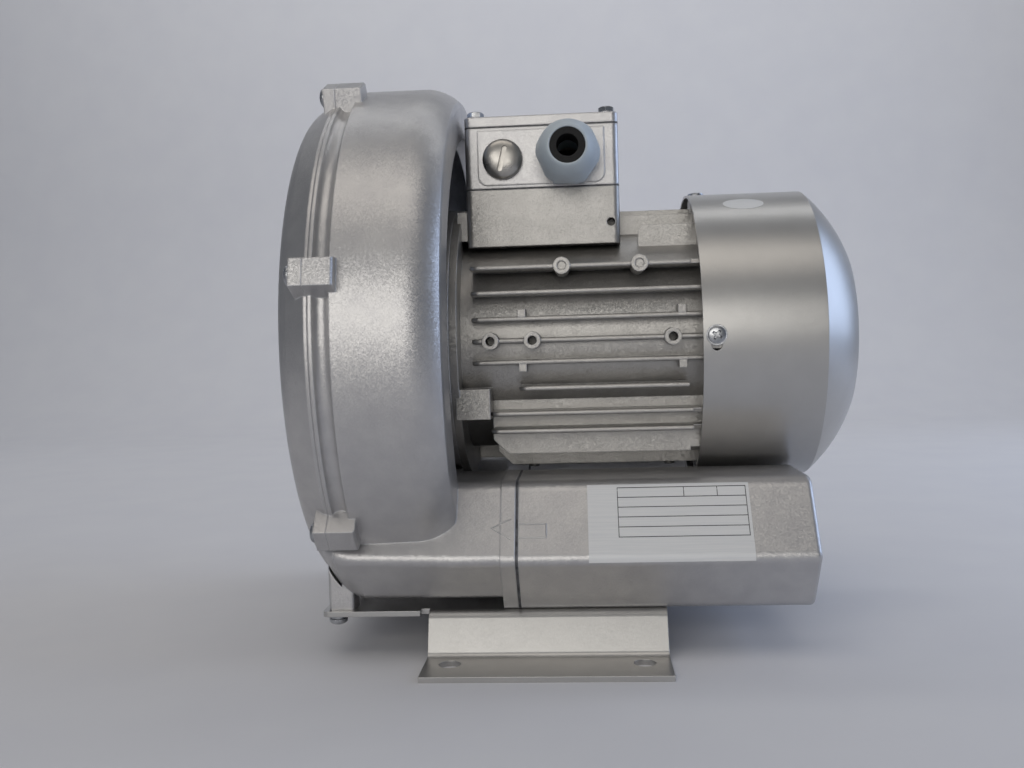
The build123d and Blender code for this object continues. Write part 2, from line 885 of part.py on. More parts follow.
def make_shaft():
    rear_seat_x = rear_bearing_x
    core_start_x = front_bearing_end_x
    steps = Polyline(
        (shaft_front_x, 0),
        (shaft_front_x, shaft_wheel_radius),
        (wheel_back_x, shaft_wheel_radius),
        (wheel_back_x, shaft_front_radius),
        (core_start_x, shaft_front_radius),
        (core_start_x, shaft_core_radius),
        (rear_seat_x, shaft_core_radius),
        (rear_seat_x, shaft_rear_radius),
        (shield_end_x, shaft_rear_radius),
        (shield_end_x, shaft_fan_radius),
        (shaft_fan_end_x, shaft_fan_radius),
        (shaft_fan_end_x, 0),
        close=True,
    )
    body = turned(steps)
    middle_x = (wheel_hub_front_x + wheel_back_x) / 2
    key_seat = block(
        (middle_x - key_length / 2, middle_x + key_length / 2),
        (-key_width / 2, key_width / 2),
        (shaft_height + shaft_wheel_radius - key_height / 2, shaft_height + shaft_wheel_radius),
    )
    screw_hole_end_x = wheel_washer_x + wheel_screw_length
    groove_x = fan_start_x + fan_hub_length
    groove = ring(groove_x, groove_x + fan_clip_thickness, shaft_fan_radius, shaft_fan_radius - edge_break)
    return body - key_seat - ring(shaft_front_x, screw_hole_end_x, wheel_screw_radius) - groove


def make_shaft_seal():
    start_x = plate_back_x - seal_width
    inner_radius = shaft_front_radius + running_clearance
    lip_start_x = start_x + seal_width * 0.3
    outline = Polyline(
        (start_x, inner_radius + 3.0),
        (start_x, seal_radius),
        (plate_back_x, seal_radius),
        (plate_back_x, seal_radius - 2.5),
        (lip_start_x + 1.5, seal_radius - 2.5),
        (lip_start_x + 3.0, inner_radius),
        (lip_start_x, inner_radius),
        close=True,
    )
    return turned(outline)


def ball_circle(inner_radius, outer_radius):
    return (inner_radius + outer_radius) / 2


def make_bearing(start_x, width, inner_radius, outer_radius, ball_count):
    # One deep groove ball bearing: inner ring, outer ring, balls and cage.
    middle_x = start_x + width / 2
    pitch = ball_circle(inner_radius, outer_radius)
    groove = turned(CenterArc((middle_x, pitch), ball_radius + ball_gap, 0, 360))
    inner_ring = ring(start_x, start_x + width, inner_radius + race_wall + 1.4, inner_radius + fit_clearance)
    outer_ring = ring(start_x, start_x + width, outer_radius - fit_clearance, outer_radius - race_wall - 1.4)
    ball = Pos(middle_x, 0, shaft_height + pitch) * Sphere(ball_radius)
    pocket = Pos(middle_x, 0, shaft_height + pitch) * Sphere(ball_radius + cage_gap)
    cage = ring(
        middle_x - cage_half_width,
        middle_x + cage_half_width,
        pitch + cage_half_height,
        pitch - cage_half_height,
    )
    turns = [360.0 * number / ball_count for number in range(ball_count)]
    cage -= [around_shaft(pocket, turn) for turn in turns]
    balls = solids_of(*[around_shaft(ball, turn) for turn in turns])
    return inner_ring - groove, outer_ring - groove, balls, cage


def frame_tube():
    # The motor's barrel with its front flange, still solid inside.
    body = ring(motor_seat_x, motor_end_x, frame_radius)
    return body + ring(motor_seat_x, flange_back_x, motor_seat_radius)


def frame_inside():
    # The space inside the barrel, round the bearing hub, with the bearing's seat.
    hub_radius = front_bearing_radius + hub_wall
    space = ring(flange_back_x, motor_end_x, frame_bore, hub_radius)
    space += ring(front_bearing_end_x, motor_end_x, frame_bore)
    space += ring(front_bearing_x, front_bearing_end_x, front_bearing_radius)
    return space + ring(motor_seat_x, front_bearing_x, shaft_front_radius + shield_shaft_gap)


def side_fin(start_x, end_x, offset):
    # A level fin of the +Y side, rounded along its tip and at its front corner.
    middle_z = shaft_height + offset
    plan = Polyline(
        (start_x, frame_bore * 0.5),
        (end_x, frame_bore * 0.5),
        (end_x, fin_reach_y),
        (start_x + fin_front_round, fin_reach_y),
    )
    corner = TangentArc(
        (start_x + fin_front_round, fin_reach_y),
        (start_x, fin_reach_y - fin_front_round),
        tangent=(-1, 0),
    )
    side = Line((start_x, fin_reach_y - fin_front_round), (start_x, frame_bore * 0.5))
    face = Plane.XY.offset(middle_z) * make_face(plan + corner + side)
    fin = extrude(face, fin_thickness / 2, both=True)
    tip_edges = fin.edges().filter_by(Axis.X).group_by(Axis.Y)[-1]
    return fillet(tip_edges, fin_tip_round)


def side_fins():
    # The level fins of the +Y side; the lowest ones start further back.
    upper_offsets = (
        side_fin_offset_high,
        side_fin_offset_mid,
        side_fin_offset_low,
        0.0,
        -side_fin_offset_low,
    )
    lower_offsets = (-side_fin_offset_high, -side_fin_offset_last)
    fins = [side_fin(fin_start_x, motor_end_x, offset) for offset in upper_offsets]
    fins += [side_fin(low_fin_start_x, motor_end_x, offset) for offset in lower_offsets]
    return fins + [side_fin(short_fin_start_x, short_fin_end_x, -side_fin_offset_mid)]


def keel_fin(y, bottom_z):
    # A fin under the barrel, with its front corner cut off.
    side = Polyline(
        (low_fin_start_x, shaft_height),
        (low_fin_start_x, bottom_z + keel_fin_chamfer),
        (low_fin_start_x + keel_fin_chamfer, bottom_z),
        (motor_end_x, bottom_z),
        (motor_end_x, shaft_height),
        close=True,
    )
    return extrude(Plane.XZ.offset(-y) * make_face(side), fin_thickness / 2, both=True)


def top_fin(y, start_x, top_z):
    # A fin on top of the barrel, behind the terminal box, rounded at its front corner.
    side = Polyline(
        (start_x + fin_front_round, top_z),
        (motor_end_x, top_z),
        (motor_end_x, shaft_height),
        (start_x, shaft_height),
        (start_x, top_z - fin_front_round),
    )
    corner = TangentArc(
        (start_x, top_z - fin_front_round), (start_x + fin_front_round, top_z), tangent=(0, 1)
    )
    return extrude(Plane.XZ.offset(-y) * make_face(side + corner), fin_thickness / 2, both=True)


def terminal_base():
    # The hollow block under the terminal box, cast in one with the barrel.
    shape = block(
        (box_start_x, box_end_x), (-box_half_width, box_half_width), (base_bottom_z, base_top_z)
    )
    shape = fillet(shape.edges().filter_by(Axis.Z), box_corner_radius)
    hollow = block(
        (box_start_x + base_wall, box_end_x - base_wall),
        (-box_half_width + base_wall, box_half_width - base_wall),
        (base_floor_z, base_top_z),
    )
    return shape - fillet(hollow.edges().filter_by(Axis.Z), box_corner_radius)


def lid_screw_places():
    near_x = box_start_x + lid_screw_inset_x
    far_x = box_end_x - lid_screw_inset_x
    side_y = box_half_width - lid_screw_inset_y
    return [(x, y) for x in (near_x, far_x) for y in (-side_y, side_y)]


def side_bosses():
    # Round bosses and small square pads among the fins of the +Y side.
    upper_z = shaft_height + side_fin_offset_high
    shapes = []
    for x in (boss_front_x, boss_second_x, boss_rear_x):
        shapes.append(rod((x, frame_bore, shaft_height), (x, boss_reach_y, shaft_height), boss_radius))
    for x in (upper_boss_front_x, upper_boss_rear_x):
        shapes.append(rod((x, frame_bore * 0.8, upper_z), (x, boss_reach_y, upper_z), boss_radius))
    for x in (pad_front_x, pad_rear_x):
        for z in (shaft_height - pad_offset_z, shaft_height + pad_offset_z):
            shapes.append(
                block(
                    (x - pad_size / 2, x + pad_size / 2),
                    (frame_bore, fin_reach_y),
                    (z - pad_size / 2, z + pad_size / 2),
                )
            )
    return shapes


def side_boss_holes():
    # Tapped holes in the middle row of bosses and shallow dimples in the upper row.
    upper_z = shaft_height + side_fin_offset_high
    holes = []
    for x in (boss_front_x, boss_second_x, boss_rear_x):
        inner_y = boss_reach_y - boss_hole_depth
        holes.append(rod((x, inner_y, shaft_height), (x, boss_reach_y, shaft_height), boss_hole_radius))
    for x in (upper_boss_front_x, upper_boss_rear_x):
        inner_y = boss_reach_y - boss_dimple_depth
        holes.append(rod((x, inner_y, upper_z), (x, boss_reach_y, upper_z), boss_hole_radius))
    return holes


def make_motor_frame():
    body = frame_tube()
    fins = []
    for fin in side_fins() + side_bosses():
        fins += both_sides(fin)
    fins += both_sides(keel_fin(bottom_fin_y, bottom_fin_z))
    fins += both_sides(keel_fin(keel_fin_y, keel_fin_z)) + [keel_fin(0.0, keel_fin_z)]
    # The outer top fins stand free of the terminal box's base, the others grow out of its wall
    base_side_x = box_end_x - base_wall + edge_break
    fins += both_sides(top_fin(top_fin_outer_y, top_fin_start_x, top_fin_outer_z))
    fins += both_sides(top_fin(top_fin_inner_y, base_side_x, top_fin_inner_z))
    fins.append(top_fin(0.0, base_side_x, top_fin_middle_z))
    for x in (keel_post_front_x, keel_post_back_x):
        fins.append(rod((x, 0, keel_post_z), (x, 0, shaft_height), keel_post_radius))
    for angle in shield_screw_angles():
        z = shaft_height + shield_screw_circle
        boss = rod((motor_end_x - shield_boss_length, 0, z), (motor_end_x, 0, z), shield_boss_radius)
        fins.append(around_shaft(boss, angle))
    lug_start_x = motor_seat_x + motor_lug_start_gap
    # The lugs stand square to the shaft line, as the fins do
    for y, z in motor_screw_places():
        fins.append(
            block(
                (lug_start_x, lug_start_x + motor_lug_length),
                (y - motor_lug_size / 2, y + motor_lug_size / 2),
                (z - motor_lug_size / 2, z + motor_lug_size / 2),
            )
        )
    fins.append(terminal_base())
    body += fins
    # Everything under the fan cover stays inside its round opening
    body -= ring(fan_cover_start_x - 4.0, motor_end_x, fan_cover_radius + 20.0, fin_envelope_radius)
    body -= frame_inside()
    for hole in side_boss_holes():
        body -= both_sides(hole)
    body -= rod((board_x, 0, shaft_height), (board_x, 0, base_top_z), base_cable_hole_radius)
    body -= rod(
        (drain_hole_x, -box_half_width, drain_hole_z),
        (drain_hole_x, -box_half_width + drain_hole_depth, drain_hole_z),
        drain_hole_radius,
    )
    for y, z in motor_screw_places():
        tip_x = motor_screw_seat_x() + motor_screw_length
        body -= rod((motor_seat_x, y, z), (tip_x, y, z), motor_screw_radius)
    for x, y in lid_screw_places():
        body -= rod((x, y, lid_screw_tip_z()), (x, y, base_top_z), lid_screw_radius)
    for x, y in board_screw_places():
        body -= rod((x, y, base_floor_z - earth_screw_depth), (x, y, base_floor_z), earth_screw_radius)
    body -= rod(
        (earth_screw_x, earth_screw_y, base_floor_z - earth_screw_depth),
        (earth_screw_x, earth_screw_y, base_floor_z),
        earth_screw_radius,
    )
    screw_z = shaft_height + shield_screw_circle
    tip_x = shield_flange_x - shield_screw_length
    hole = rod((tip_x, 0, screw_z), (motor_end_x, 0, screw_z), shield_screw_radius)
    return body - [around_shaft(hole, angle) for angle in shield_screw_angles()]


def lid_screw_tip_z():
    return lid_top_z - lid_screw_length


def board_screw_places():
    side_x = board_length / 2 - board_screw_inset
    return [(board_x - side_x, 0.0), (board_x + side_x, 0.0)]


def make_motor_screws():
    seat_x = motor_screw_seat_x()
    screws = [
        cap_screw(
            (seat_x, y, z),
            (seat_x + motor_screw_length, y, z),
            motor_screw_radius,
            motor_screw_head_radius,
            motor_screw_head_height,
        )
        for y, z in motor_screw_places()
    ]
    return solids_of(*screws)


def make_stator_core():
    return ring(stator_start_x, stator_end_x, frame_bore - stator_clearance, stator_bore)


def make_stator_windings():
    # The two rounded coil heads that stand out of the core.
    heads = []
    for face_x, way in ((stator_start_x, -1), (stator_end_x, 1)):
        end_x = face_x + way * winding_length
        middle = (winding_inner_radius + winding_outer_radius) / 2
        shoulder_x = face_x + way * winding_length * 0.5
        crown = ThreePointArc(
            (shoulder_x, winding_outer_radius), (end_x, middle), (shoulder_x, winding_inner_radius)
        )
        sides = Polyline(
            (shoulder_x, winding_inner_radius),
            (face_x, winding_inner_radius),
            (face_x, winding_outer_radius),
            (shoulder_x, winding_outer_radius),
        )
        heads.append(turned(crown + sides))
    return solids_of(*heads)


def make_rotor_core():
    return ring(stator_start_x, stator_end_x, rotor_radius, shaft_core_radius + fit_clearance)


def make_rotor_cage():
    # The cast end rings of the rotor's cage.
    rings = []
    for face_x, way in ((stator_start_x, -1), (stator_end_x, 1)):
        low_x, high_x = sorted((face_x, face_x + way * rotor_end_ring_length))
        rings.append(ring(low_x, high_x, rotor_radius - edge_break, rotor_end_ring_inner_radius))
    return solids_of(*rings)


def make_wave_spring():
    # A thin wavy washer that loads the rear bearing, drawn as its flat ring and three crests.
    outer_radius = rear_bearing_radius - running_clearance
    inner_radius = outer_radius - race_wall
    body = ring(
        rear_bearing_end_x + (spring_length - spring_thickness) / 2,
        rear_bearing_end_x + (spring_length + spring_thickness) / 2,
        outer_radius,
        inner_radius,
    )
    crest = block(
        (rear_bearing_end_x, rear_bearing_end_x + spring_length),
        (-race_wall, race_wall),
        (shaft_height + inner_radius + edge_break, shaft_height + outer_radius - edge_break),
    )
    return body + [around_shaft(crest, turn) for turn in (0.0, 120.0, 240.0)]


def make_end_shield():
    hub_radius = rear_bearing_radius + hub_wall
    hub_start_x = rear_bearing_x - running_clearance
    body = ring(motor_end_x, shield_flange_x, shield_flange_radius)
    spigot_radius = frame_bore - stator_clearance
    body += ring(motor_end_x - shield_spigot_length, motor_end_x, spigot_radius, frame_bore - shield_wall)
    body += ring(hub_start_x, shield_end_x, hub_radius)
    post = block(
        (motor_end_x, motor_end_x + cover_post_length),
        (-cover_post_width / 2, cover_post_width / 2),
        (shaft_height + frame_bore, shaft_height + fan_cover_radius),
    )
    post_reach = fan_cover_radius - fan_cover_sheet - cover_post_gap
    post &= ring(motor_end_x, motor_end_x + cover_post_length, post_reach)
    rib = block(
        (shield_flange_x - edge_break, shield_end_x - edge_break * 6),
        (-shield_wall / 2, shield_wall / 2),
        (shaft_height + rear_bearing_radius, shaft_height + frame_bore),
    )
    body += [around_shaft(post, angle) for angle in quarter_angles()]
    body += [around_shaft(rib, 360.0 * number / shield_rib_count) for number in range(shield_rib_count)]
    body -= ring(hub_start_x, rear_bearing_end_x + spring_length, rear_bearing_radius)
    body -= ring(hub_start_x, shield_end_x, shaft_rear_radius + shield_shaft_gap)
    screw_z = shaft_height + shield_screw_circle
    hole = rod((motor_end_x, 0, screw_z), (shield_flange_x, 0, screw_z), shield_screw_radius)
    body -= [around_shaft(hole, angle) for angle in shield_screw_angles()]
    cover_z = shaft_height + fan_cover_radius
    cover_hole = rod((fan_screw_x, 0, fan_screw_tip_z()), (fan_screw_x, 0, cover_z), fan_screw_radius)
    return body - [around_shaft(cover_hole, angle) for angle in quarter_angles()]


def fan_screw_tip_z():
    return shaft_height + fan_cover_radius + fan_washer_thickness - fan_screw_length


def make_shield_screws():
    screw_z = shaft_height + shield_screw_circle
    seat = (shield_flange_x, 0, screw_z)
    tip = (shield_flange_x - shield_screw_length, 0, screw_z)
    screw = cap_screw(seat, tip, shield_screw_radius, shield_screw_head_radius, shield_screw_head_height)
    return solids_of(*[around_shaft(screw, angle) for angle in shield_screw_angles()])


def make_cooling_fan():
    body = ring(fan_start_x, fan_start_x + fan_hub_length, fan_hub_radius)
    plate_end_x = fan_start_x + fan_plate_thickness
    body += ring(fan_start_x, plate_end_x, fan_radius)
    side = Polyline(
        (fan_start_x, shaft_height + fan_blade_start_radius),
        (fan_start_x, shaft_height + fan_radius),
        (fan_start_x + fan_blade_length, shaft_height + fan_radius),
        (fan_start_x + fan_blade_length - fan_blade_slope, shaft_height + fan_blade_start_radius),
        close=True,
    )
    blade = extrude(Plane.XZ * make_face(side), fan_blade_thickness / 2, both=True)
    body += [around_shaft(blade, 360.0 * number / fan_blade_count) for number in range(fan_blade_count)]
    return body - ring(fan_start_x, fan_start_x + fan_hub_length, shaft_fan_radius + fit_clearance)


def make_fan_clip():
    # The spring ring in the shaft's groove that keeps the fan on.
    start_x = fan_start_x + fan_hub_length
    clip = ring(
        start_x, start_x + fan_clip_thickness, fan_clip_radius, shaft_fan_radius - edge_break + fit_clearance
    )
    gap = block(
        (start_x, start_x + fan_clip_thickness),
        (-shaft_fan_radius / 3, shaft_fan_radius / 3),
        (shaft_height, shaft_height + fan_clip_radius),
    )
    return clip - gap


def fan_cover_outline(inset):
    # The cover's skin from its open end to the middle of its end face, moved inwards by the inset.
    corner_x = fan_cover_corner_x - inset * 0.3
    end_x = fan_cover_end_x - inset
    end_radius = fan_cover_end_radius - inset * 0.5
    outer_radius = fan_cover_radius - inset
    middle_x = (corner_x + end_x) / 2 + fan_cover_bulge * 0.8
    middle_radius = (outer_radius + end_radius) / 2 + fan_cover_bulge * 0.6
    barrel = Line((fan_cover_start_x, outer_radius), (corner_x, outer_radius))
    cone = ThreePointArc((corner_x, outer_radius), (middle_x, middle_radius), (end_x, end_radius))
    face = Line((end_x, end_radius), (end_x, 0))
    return barrel, cone, face


def grille_slots():
    # Rings of curved slots in the end face, parted by spokes.
    inner_x = fan_cover_end_x - fan_cover_sheet * 2
    rings = []
    for number in range(grille_ring_count):
        inner_radius = grille_first_radius + grille_pitch * number
        rings.append(ring(inner_x, fan_cover_end_x, inner_radius + grille_slot_width, inner_radius))
    spoke = block(
        (inner_x, fan_cover_end_x),
        (-grille_spoke_width / 2, grille_spoke_width / 2),
        (shaft_height, shaft_height + fan_cover_radius),
    )
    turns = [360.0 * number / grille_spoke_count for number in range(grille_spoke_count)]
    spokes = [around_shaft(spoke, turn) for turn in turns]
    return [one - spokes for one in rings]


def make_fan_cover():
    outer_barrel, outer_cone, outer_face = fan_cover_outline(0.0)
    inner_barrel, inner_cone, inner_face = fan_cover_outline(fan_cover_sheet)
    ends = Line(outer_face @ 1, inner_face @ 1) + Line(outer_barrel @ 0, inner_barrel @ 0)
    outline = outer_barrel + outer_cone + outer_face + inner_barrel + inner_cone + inner_face + ends
    body = turned(outline) - grille_slots()
    outer_z = shaft_height + fan_cover_radius
    inner_z = outer_z - fan_cover_sheet * 2
    hole = rod((fan_screw_x, 0, inner_z), (fan_screw_x, 0, outer_z), fan_screw_radius + edge_break)
    # Each hole is a short slot round the cover, so that the cover can be turned free
    slot = hole + around_shaft(hole, math.degrees(fan_cover_slot_drop / fan_cover_radius))
    return body - [around_shaft(slot, angle) for angle in quarter_angles()]


def make_fan_cover_screws():
    seat_z = shaft_height + fan_cover_radius + fan_washer_thickness
    screw = pan_screw(
        (fan_screw_x, 0, seat_z),
        (fan_screw_x, 0, fan_screw_tip_z()),
        fan_screw_radius,
        fan_screw_head_radius,
        fan_screw_head_height,
    )
    return solids_of(*[around_shaft(screw, angle) for angle in quarter_angles()])


def make_fan_cover_washers():
    low_z = shaft_height + fan_cover_radius
    high_z = low_z + fan_washer_thickness
    washer = rod((fan_screw_x, 0, low_z), (fan_screw_x, 0, high_z), fan_washer_radius)
    washer -= rod((fan_screw_x, 0, low_z), (fan_screw_x, 0, high_z), fan_screw_radius + fit_clearance)
    return solids_of(*[around_shaft(washer, angle) for angle in quarter_angles()])


def box_plan(low_z, high_z, inset=0.0):
    # A slab with the terminal box's rounded plan.
    shape = block(
        (box_start_x + inset, box_end_x - inset),
        (-box_half_width + inset, box_half_width - inset),
        (low_z, high_z),
    )
    return fillet(shape.edges().filter_by(Axis.Z), box_corner_radius)


def lid_screw_holes(low_z, high_z):
    return [rod((x, y, low_z), (x, y, high_z), lid_screw_radius) for x, y in lid_screw_places()]


def gasket_at(low_z):
    shape = box_plan(low_z, low_z + box_gasket) - box_plan(low_z, low_z + box_gasket, base_wall)
    corners = [
        rod((x, y, low_z), (x, y, low_z + box_gasket), box_boss_radius) for x, y in lid_screw_places()
    ]
    shape += [corner & box_plan(low_z, low_z + box_gasket) for corner in corners]
    return shape - lid_screw_holes(low_z, low_z + box_gasket)


def make_terminal_box():
    body = box_plan(box_z, box_top_z) - box_plan(box_z, box_top_z, box_wall)
    bosses = [rod((x, y, box_z), (x, y, box_top_z), box_boss_radius) for x, y in lid_screw_places()]
    body += [boss & box_plan(box_z, box_top_z) for boss in bosses]
    panel = block(
        (panel_start_x, panel_end_x),
        (-box_half_width - panel_raise, -box_half_width + edge_break),
        (box_z + panel_bottom_inset, box_top_z - panel_top_inset),
    )
    lower_corners = panel.edges().filter_by(Axis.Y).group_by(Axis.Z)[0]
    body += fillet(lower_corners, panel_corner_radius)
    inner_y = -box_half_width + box_wall
    for x, radius in ((gland_x, gland_thread_radius), (plug_x, plug_thread_radius)):
        body -= rod((x, wall_y(0), entry_z), (x, inner_y, entry_z), radius + fit_clearance)
    return body - lid_screw_holes(box_z, box_top_z)


def make_terminal_lid():
    shape = box_plan(lid_z, lid_top_z)
    top_edges = shape.faces().sort_by(Axis.Z)[-1].edges()
    return chamfer(top_edges, edge_break) - lid_screw_holes(lid_z, lid_top_z)


def make_lid_screws():
    screws = []
    for x, y in lid_screw_places():
        seat = (x, y, lid_top_z)
        head = prism(seat, (x, y, lid_top_z + lid_screw_head_height), lid_screw_head_radius * 1.8)
        screws.append(head + rod(seat, (x, y, lid_screw_tip_z()), lid_screw_radius))
    return solids_of(*screws)


def wall_y(distance):
    # A place in front of the entry panel of the terminal box, at a distance from it.
    return -box_half_width - panel_raise - distance


def make_gland_body():
    hex_end = wall_y(gland_hex_length)
    neck_end = wall_y(gland_hex_length + gland_neck_length)
    thread_end = -box_half_width + box_wall + locknut_length + 1.0
    body = prism((gland_x, wall_y(0), entry_z), (gland_x, hex_end, entry_z), gland_hex_flat)
    body += rod((gland_x, hex_end, entry_z), (gland_x, neck_end, entry_z), gland_neck_radius)
    body += rod((gland_x, wall_y(0), entry_z), (gland_x, thread_end, entry_z), gland_thread_radius)
    body -= rod((gland_x, neck_end, entry_z), (gland_x, thread_end, entry_z), gland_bore)
    return body - rod((gland_x, neck_end, entry_z), (gland_x, hex_end, entry_z), gland_neck_bore)


def make_gland_nut():
    # The domed union nut, turned about the gland's own line with a hexagon at its root.
    start = gland_hex_length + gland_nut_gap
    length = gland_nut_length
    corner_radius = gland_nut_flat / math.sqrt(3)
    dome = ThreePointArc(
        (corner_radius, gland_nut_hex_length),
        (corner_radius - 1.5, length * 0.75),
        (gland_dome_radius, length),
    )
    rest = Polyline(
        (gland_dome_radius, length),
        (gland_opening_radius, length),
        (gland_opening_radius, gland_neck_length),
        (gland_neck_radius + fit_clearance, gland_neck_length - gland_nut_gap),
        (gland_neck_radius + fit_clearance, 0),
        (corner_radius, 0),
        (corner_radius, gland_nut_hex_length),
    )
    shell = revolve(Plane.XZ * make_face(dome + rest), Axis.Z)
    hexagon = extrude(RegularPolygon(gland_nut_flat / 2, 6, major_radius=False), gland_nut_hex_length)
    dome_zone = Pos(0, 0, gland_nut_hex_length + length / 2) * Cylinder(corner_radius, length)
    nut = shell & (hexagon + dome_zone)
    return Plane(origin=(gland_x, wall_y(start), entry_z), z_dir=(0, -1, 0)) * nut


def make_gland_seal():
    # The rubber sleeve that the nut squeezes round a cable, just inside the nut's opening.
    outer_y = wall_y(gland_hex_length + gland_nut_gap + gland_nut_length - edge_break)
    inner_y = outer_y + gland_seal_length
    body = rod((gland_x, inner_y, entry_z), (gland_x, outer_y, entry_z), gland_opening_radius - fit_clearance)
    return body - rod((gland_x, inner_y, entry_z), (gland_x, outer_y, entry_z), gland_seal_hole_radius)


def make_gland_locknut():
    start_y = -box_half_width + box_wall
    end_y = start_y + locknut_length
    hole_radius = gland_thread_radius + fit_clearance
    body = prism((gland_x, start_y, entry_z), (gland_x, end_y, entry_z), locknut_flat)
    return body - rod((gland_x, start_y, entry_z), (gland_x, end_y, entry_z), hole_radius)


def make_blanking_plug():
    ring_end = wall_y(plug_ring_thickness)
    dome = TangentArc((0, plug_head_height), (plug_head_radius, plug_rim_height), tangent=(1, 0))
    sides = Polyline((0, plug_head_height), (0, 0), (plug_head_radius, 0), (plug_head_radius, plug_rim_height))
    head = revolve(Plane.XZ * make_face(dome + sides), Axis.Z)
    slot = Pos(0, 0, plug_head_height) * Rot(Z=90 - plug_slot_angle) * Box(
        plug_slot_length, plug_slot_width, plug_slot_depth * 2
    )
    head = Plane(origin=(plug_x, ring_end, entry_z), x_dir=(1, 0, 0), z_dir=(0, -1, 0)) * (head - slot)
    tip_y = -box_half_width - panel_raise + plug_thread_length
    return head + rod((plug_x, ring_end, entry_z), (plug_x, tip_y, entry_z), plug_thread_radius)


def make_plug_ring():
    body = rod((plug_x, wall_y(0), entry_z), (plug_x, wall_y(plug_ring_thickness), entry_z), plug_ring_radius)
    return body - rod(
        (plug_x, wall_y(0), entry_z),
        (plug_x, wall_y(plug_ring_thickness), entry_z),
        plug_thread_radius + fit_clearance,
    )


def stud_places():
    return [
        (board_x + column * stud_pitch_x, row * stud_pitch_y / 2) for column in (-1, 0, 1) for row in (-1, 1)
    ]


def make_terminal_board():
    body = block(
        (board_x - board_length / 2, board_x + board_length / 2),
        (-board_width / 2, board_width / 2),
        (board_z, stud_base_z),
    )
    for way in (-1, 1):
        rib_x = board_x + way * stud_pitch_x / 2
        body += block(
            (rib_x - board_rib_width / 2, rib_x + board_rib_width / 2),
            (-board_width / 2, board_width / 2),
            (board_z, stud_base_z + board_rib_height),
        )
    for x, y in stud_places():
        body -= rod((x, y, board_z), (x, y, stud_base_z), stud_radius)
    for x, y in board_screw_places():
        body -= rod((x, y, board_z), (x, y, stud_base_z), earth_screw_radius)
    return body


def make_board_screws():
    screws = [
        pan_screw(
            (x, y, stud_base_z),
            (x, y, base_floor_z - earth_screw_depth),
            earth_screw_radius,
            earth_screw_head_radius,
            earth_screw_head_height,
        )
        for x, y in board_screw_places()
    ]
    return solids_of(*screws)


def make_terminal_studs():
    top_z = board_z + stud_length
    return solids_of(*[rod((x, y, board_z), (x, y, top_z), stud_radius) for x, y in stud_places()])


def make_terminal_links():
    # Three brass bars join the studs in pairs across the board.
    bars = []
    for column in (-1, 0, 1):
        x = board_x + column * stud_pitch_x
        bar = block(
            (x - link_width / 2, x + link_width / 2),
            (-stud_pitch_y / 2 - link_width / 2, stud_pitch_y / 2 + link_width / 2),
            (stud_base_z, stud_base_z + link_thickness),
        )
        bar = fillet(bar.edges().filter_by(Axis.Z), link_width * 0.3)
        for way in (-1, 1):
            y = way * stud_pitch_y / 2
            bar -= rod((x, y, stud_base_z), (x, y, stud_base_z + link_thickness), stud_radius)
        bars.append(bar)
    return solids_of(*bars)


def make_terminal_nuts():
    nuts = []
    low_z = stud_base_z + link_thickness
    for x, y in stud_places():
        nut = prism((x, y, low_z), (x, y, low_z + nut_height), nut_flat)
        nuts.append(nut - rod((x, y, low_z), (x, y, low_z + nut_height), stud_radius))
    return solids_of(*nuts)


def make_earth_screw():
    return pan_screw(
        (earth_screw_x, earth_screw_y, base_floor_z),
        (earth_screw_x, earth_screw_y, base_floor_z - earth_screw_depth),
        earth_screw_radius,
        earth_screw_head_radius,
        earth_screw_head_height,
    )


def silencer_start_x():
    return joint_x + gasket_thickness


def saddle_wall(start_x, clearance):
    # What the saddle and the wall below it keep free of the hollow inside.
    radius = fan_cover_radius + saddle_clearance + silencer_wall + clearance
    return ring(start_x, silencer_end_x, radius)


def make_silencer():
    start_x = silencer_start_x()
    body = extrude(Plane.YZ.offset(start_x) * silencer_section(), silencer_length)
    end_edges = body.faces().sort_by(Axis.X)[-1].edges()
    body = fillet(end_edges, silencer_end_round)
    body -= saddle(start_x, silencer_end_x)
    chamber_length = silencer_length - port_thread_length
    chamber = offset(silencer_section(), -silencer_wall, kind=Kind.INTERSECTION)
    hollow = extrude(Plane.YZ.offset(start_x) * chamber, chamber_length)
    body -= hollow - saddle_wall(start_x, 0.0)
    bosses = [
        rod((start_x, y, z), (start_x + chamber_length, y, z), tie_boss_radius) for y, z in tie_screw_places()
    ]
    body += bosses
    body -= rod((start_x, port_y, port_z), (silencer_end_x, port_y, port_z), port_radius)
    for y, z in tie_screw_places():
        body -= rod((start_x, y, z), (silencer_end_x, y, z), tie_screw_radius)
        head_seat_x = silencer_end_x - tie_screw_head_height
        body -= rod((head_seat_x, y, z), (silencer_end_x, y, z), tie_screw_head_radius + fit_clearance)
    x, y = rear_foot_screw_x, rear_foot_screw_y
    return body - rod((x, y, foot_top_z), (x, y, foot_top_z + rear_foot_screw_inset), foot_screw_radius)


def make_silencer_liner():
    # The sound absorbing lining, with the airway through its middle.
    start_x = silencer_start_x() + liner_clearance
    length = silencer_length - port_thread_length - 2 * liner_clearance
    section = offset(silencer_section(), -silencer_wall - liner_clearance, kind=Kind.INTERSECTION)
    body = extrude(Plane.YZ.offset(start_x) * section, length)
    body -= saddle_wall(start_x, liner_clearance)
    end_x = start_x + length
    body -= rod((start_x, port_y, port_z), (end_x, port_y, port_z), liner_bore_radius)
    for y, z in tie_screw_places():
        body -= rod((start_x, y, z), (end_x, y, z), tie_boss_radius + liner_clearance)
    return body


